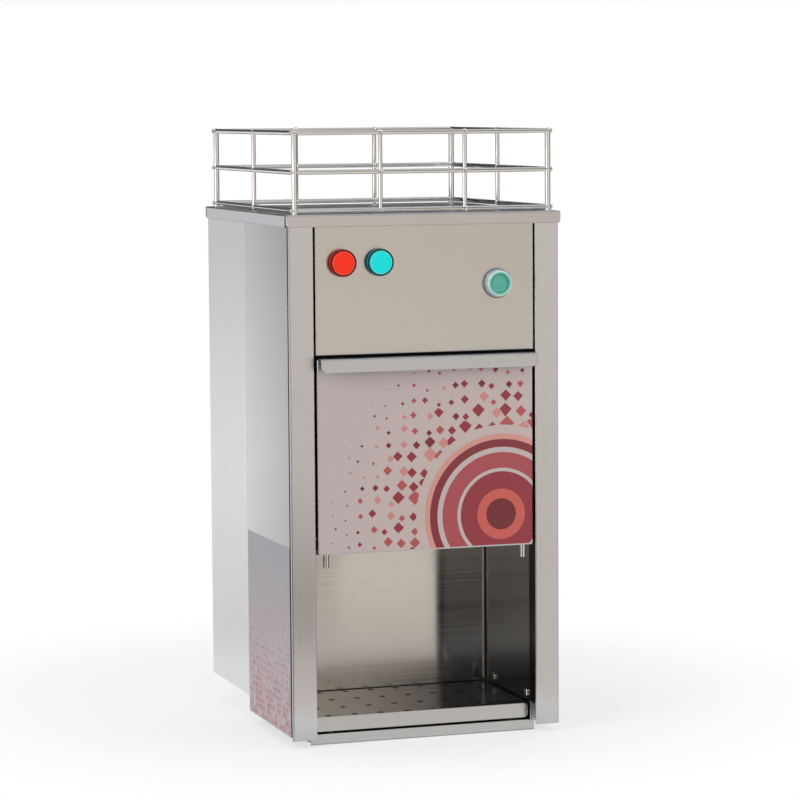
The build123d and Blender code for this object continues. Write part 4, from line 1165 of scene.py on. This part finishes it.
@dataclass(frozen=True)
class Sweep:
    """What the camera and reflections show round the juicer.

    Stops run once round it: behind at 0, left at 0.25, front at 0.5, right at 0.75. Spans are parts of a ray's
    direction, along Z where nothing else is said.

    Attributes:
        around: Colours along the horizon.
        shade: Share of them that is left below it.
        below: Span over which that shade comes in.
        rear_tones: Share of them that is left at the rear left, by share of rear_up.
        rear_up: Span over which those tones run.
        leftwards: Span along X over which they come in.
        rearwards: Span along Y over which they come in.
        room: Colours above the sweep: a dark room with pale openings.
        room_up: Span over which the room comes in.
        roof: Colour overhead.
        roof_up: Span over which the roof comes in.
    """

    around: Stops = ((0.0, "#FFFFFF"), (0.11, "#FAFAFA"), (0.14, "#A4A4A4"), (0.19, "#A4A4A4"), (0.23, "#F0F0F0"),
                     (0.34, "#E0D7CE"), (0.44, "#D3C9BE"), (0.5, "#E6DBCF"), (0.56, "#EEE3D7"), (0.64, "#F0E8DD"),
                     (0.68, "#5A5A5A"), (0.75, "#5A5A5A"), (0.80, "#C8C8C8"), (0.88, "#FFFFFF"), (1.0, "#FFFFFF"))
    shade: Stops = ((0.34, 1.0), (0.39, 0.12), (0.49, 0.12), (0.52, 0.94), (0.8, 0.94), (0.88, 1.0))
    below: Span = (-0.05, -0.10)
    rear_tones: Stops = ((0.0, 0.6), (0.25, 0.7), (0.47, 1.0), (0.66, 0.68), (1.0, 0.6))
    rear_up: Span = (-0.3, 0.1)
    leftwards: Span = (0.05, -0.15)
    rearwards: Span = (0.0, 0.4)
    room: Stops = ((0.0, 0.10), (0.12, 0.10), (0.2, 0.5), (0.28, 0.5), (0.36, 0.05), (0.52, 0.05),
                   (0.535, "#F6E8DA"), (0.547, "#F6E8DA"), (0.552, 0.05), (0.68, 0.05), (0.8, 0.3), (0.9, 0.10))
    room_up: Span = (0.03, 0.09)
    roof: str = "#D0D0D0"
    roof_up: Span = (0.4, 0.65)

    def draw(self, tree: NodeTree) -> Socket:
        """Draws the sweep by direction and returns its colour."""
        way = split(tree, add_node(tree, "ShaderNodeTexCoord").outputs["Generated"])
        angle = calculate(tree, "ARCTAN2", way["X"], calculate(tree, "MULTIPLY", way["Y"], -1.0))
        share = map_range(tree, angle, -math.pi, math.pi)
        shaded = blend(tree, map_range(tree, way["Z"], *self.below), ramp(tree, share, self.around),
                       ramp(tree, share, self.shade), "MULTIPLY")
        left = map_range(tree, way["X"], *self.leftwards)
        rear_left = map_range(tree, way["Y"], *self.rearwards, high=left)
        tone = ramp(tree, map_range(tree, way["Z"], *self.rear_up), self.rear_tones)
        toned = blend(tree, rear_left, shaded, tone, "MULTIPLY")
        lower = blend(tree, map_range(tree, way["Z"], *self.room_up), toned, ramp(tree, share, self.room))
        return blend(tree, map_range(tree, way["Z"], *self.roof_up), lower, linear(self.roof))


def empty_tree(block: bpy.types.Material | bpy.types.World) -> NodeTree:
    """Clears the nodes of a material or the world and returns their tree."""
    block.use_nodes = True
    block.node_tree.nodes.clear()
    return block.node_tree


def seen_rays(tree: NodeTree) -> Socket:
    """Gives 1 on rays from the camera, reflections and clear pieces, else 0."""
    ray = add_node(tree, "ShaderNodeLightPath").outputs
    straight = calculate(tree, "ADD", ray["Is Camera Ray"], ray["Is Glossy Ray"])
    return calculate(tree, "ADD", straight, ray["Is Transmission Ray"], clamp=True)


@dataclass
class Studio:
    """Pale floor, soft light, white sweep and the camera.

    The floor and the eye are in metres, lens and sensor in millimetres, angles in radians. The floor is solid within
    floor_solid and then fades; floor_glow is the share of white glow in what camera and reflections see of it.
    """

    floor_reach: float = 0.62
    floor_solid: float = 0.28
    floor_shift: float = 0.12
    floor_steps: int = 96
    floor_colour: str = "#F4F4F3"
    floor_glow: float = 0.66
    ambient: float = 0.58
    lens: float = 141.18
    sensor: float = 36.0
    eye: tuple[float, float, float] = (-1.07155, -3.29147, 0.67818)
    yaw: float = 0.3215
    pitch: float = 0.0942
    roll: float = 0.0067
    sweep: Sweep = Sweep()
    flags: tuple[Flag, ...] = (
        Flag("front_flag", -0.73, (-0.35, 0.18), (0.0, 0.22), ((0.0, 0.62), (0.4, 0.66), (1.0, 1.0))),
        Flag("rear_flag", 0.24, (-0.14, 0.6), (0.55, 0.75), ((0.0, 0.1), (0.5, 0.1), (1.0, 1.0))),
    )
    softboxes: tuple[Softbox, ...] = (
        Softbox("key_softbox", (1.7, -2.5, 0.5), (1.8, 1.8), 31.0),
        Softbox("fill_softbox", (-2.4, -1.2, 1.6), (1.8, 1.8), 26.0),
        Softbox("top_softbox", (0.0, 0.2, 2.8), (2.0, 2.0), 14.0),
        Softbox("spark_softbox", (-1.5, -1.2, 2.0), (1.4, 1.4), 20.0, mirrored=True, lights=False),
        Softbox("rim_softbox", (1.7, -1.0, 1.7), (0.9, 0.9), 10.0, mirrored=True, lights=False),
        Softbox("edge_softbox", (-2.3, -0.75, 0.30), (1.9, 0.6), 4.8, mirrored=True, lights=False),
    )

    def build(self) -> None:
        """Sets the floor, the flags, the lamps, the world and the camera."""
        bpy.context.scene.view_settings.view_transform = "Standard"
        self.lay_floor()
        for flag in self.flags:
            self.raise_flag(flag)
        for softbox in self.softboxes:
            self.hang(softbox)
        self.light_world()
        self.set_camera()

    def lay_floor(self) -> None:
        """Lays a round white floor that fades into the sweep."""
        shape = bmesh.new()
        bmesh.ops.create_circle(shape, cap_ends=True, segments=self.floor_steps, radius=self.floor_reach)
        floor = make_object("studio_floor", shape)
        floor.location.y = self.floor_shift
        paper = bpy.data.materials.new("paper_matt_white")
        tree = empty_tree(paper)
        fade = map_range(tree, length(tree, coordinates(tree)), self.floor_solid, self.floor_reach,
                         interpolation_type="SMOOTHSTEP")
        matt = add_node(tree, "ShaderNodeBsdfDiffuse", {"Color": linear(self.floor_colour)})
        glow = add_node(tree, "ShaderNodeEmission", {"Strength": 1.0})
        part = calculate(tree, "MULTIPLY", seen_rays(tree), self.floor_glow)
        lit = add_node(tree, "ShaderNodeMixShader", {0: part, 1: matt.outputs[0], 2: glow.outputs[0]})
        clear = add_node(tree, "ShaderNodeBsdfTransparent")
        mixed = add_node(tree, "ShaderNodeMixShader", {0: fade, 1: lit.outputs[0], 2: clear.outputs[0]})
        add_node(tree, "ShaderNodeOutputMaterial", {"Surface": mixed.outputs[0]})
        floor.data.materials.append(paper)

    def raise_flag(self, flag: Flag) -> None:
        """Raises one flag."""
        (left, right), (low, high) = flag.across, flag.up
        corners = [(left, low), (right, low), (right, high), (left, high)]
        shape = bmesh.new()
        shape.faces.new([shape.verts.new((x, flag.place, z)) for x, z in corners])
        raised = make_object(flag.name, shape)
        for kind in ("camera", "diffuse", "transmission", "shadow", "volume_scatter"):
            setattr(raised, f"visible_{kind}", False)
        gauze = bpy.data.materials.new(f"gauze_{flag.name}")
        tree = empty_tree(gauze)
        tone = ramp(tree, map_range(tree, split(tree, coordinates(tree))["Z"], low, high), flag.tones)
        clear = add_node(tree, "ShaderNodeBsdfTransparent", {"Color": tone})
        add_node(tree, "ShaderNodeOutputMaterial", {"Surface": clear.outputs[0]})
        raised.data.materials.append(gauze)

    def hang(self, softbox: Softbox) -> None:
        """Hangs one softbox that faces the middle of the juicer."""
        lamp = bpy.data.lights.new(softbox.name, "AREA")
        lamp.shape = "RECTANGLE"
        lamp.size, lamp.size_y = softbox.size
        lamp.energy = softbox.power
        hung = bpy.data.objects.new(softbox.name, lamp)
        hung.location = softbox.place
        hung.visible_glossy = softbox.mirrored
        hung.visible_diffuse = softbox.lights
        middle = (CAD_BOX[0] + CAD_BOX[1]) / 2
        hung.rotation_euler = (middle - hung.location).to_track_quat("-Z", "Y").to_euler()
        bpy.context.scene.collection.objects.link(hung)

    def light_world(self) -> None:
        """Sets an even light on matt surfaces and the sweep for all that is seen."""
        world = bpy.data.worlds.new("studio_sweep")
        bpy.context.scene.world = world
        tree = empty_tree(world)
        even = add_node(tree, "ShaderNodeBackground", {"Color": linear("#FFFFFF"), "Strength": self.ambient})
        shown = add_node(tree, "ShaderNodeBackground", {"Color": self.sweep.draw(tree), "Strength": 1.0})
        mixed = add_node(tree, "ShaderNodeMixShader", {0: seen_rays(tree), 1: even.outputs[0], 2: shown.outputs[0]})
        add_node(tree, "ShaderNodeOutputWorld", {"Surface": mixed.outputs[0]})

    def set_camera(self) -> None:
        """Places the camera at the photograph's viewpoint."""
        lens = bpy.data.cameras.new("front_left_camera")
        lens.lens = self.lens
        lens.sensor_width = self.sensor
        camera = bpy.data.objects.new("front_left_camera", lens)
        ahead = Vector((math.sin(self.yaw) * math.cos(self.pitch), math.cos(self.yaw) * math.cos(self.pitch),
                        -math.sin(self.pitch)))
        right = Vector((math.cos(self.yaw), -math.sin(self.yaw), 0.0))
        down = ahead.cross(right)
        tilted_right = math.cos(self.roll) * right + math.sin(self.roll) * down
        tilted_down = -math.sin(self.roll) * right + math.cos(self.roll) * down
        turned = Matrix((tilted_right, -tilted_down, -ahead)).transposed().to_4x4()
        camera.matrix_world = Matrix.Translation(self.eye) @ turned
        bpy.context.scene.collection.objects.link(camera)
        bpy.context.scene.camera = camera


def main() -> None:
    """Builds every sub-assembly and the studio in order."""
    logging.basicConfig(level=logging.INFO, format="%(name)s: %(message)s")
    parts = [
        Cabinet(), Press(), BaySeams(), FruitBasket(),
        PilotLamp("red_lamp_lens", "red_lens", RED_LENS), PilotLamp("green_lamp_lens", "green_lens", TEAL_LENS),
        StartButton(), Films(), Studio(),
    ]
    for part in parts:
        part.build()
        LOG.info("%s is built", type(part).__name__)


if __name__ == "__main__":
    main()
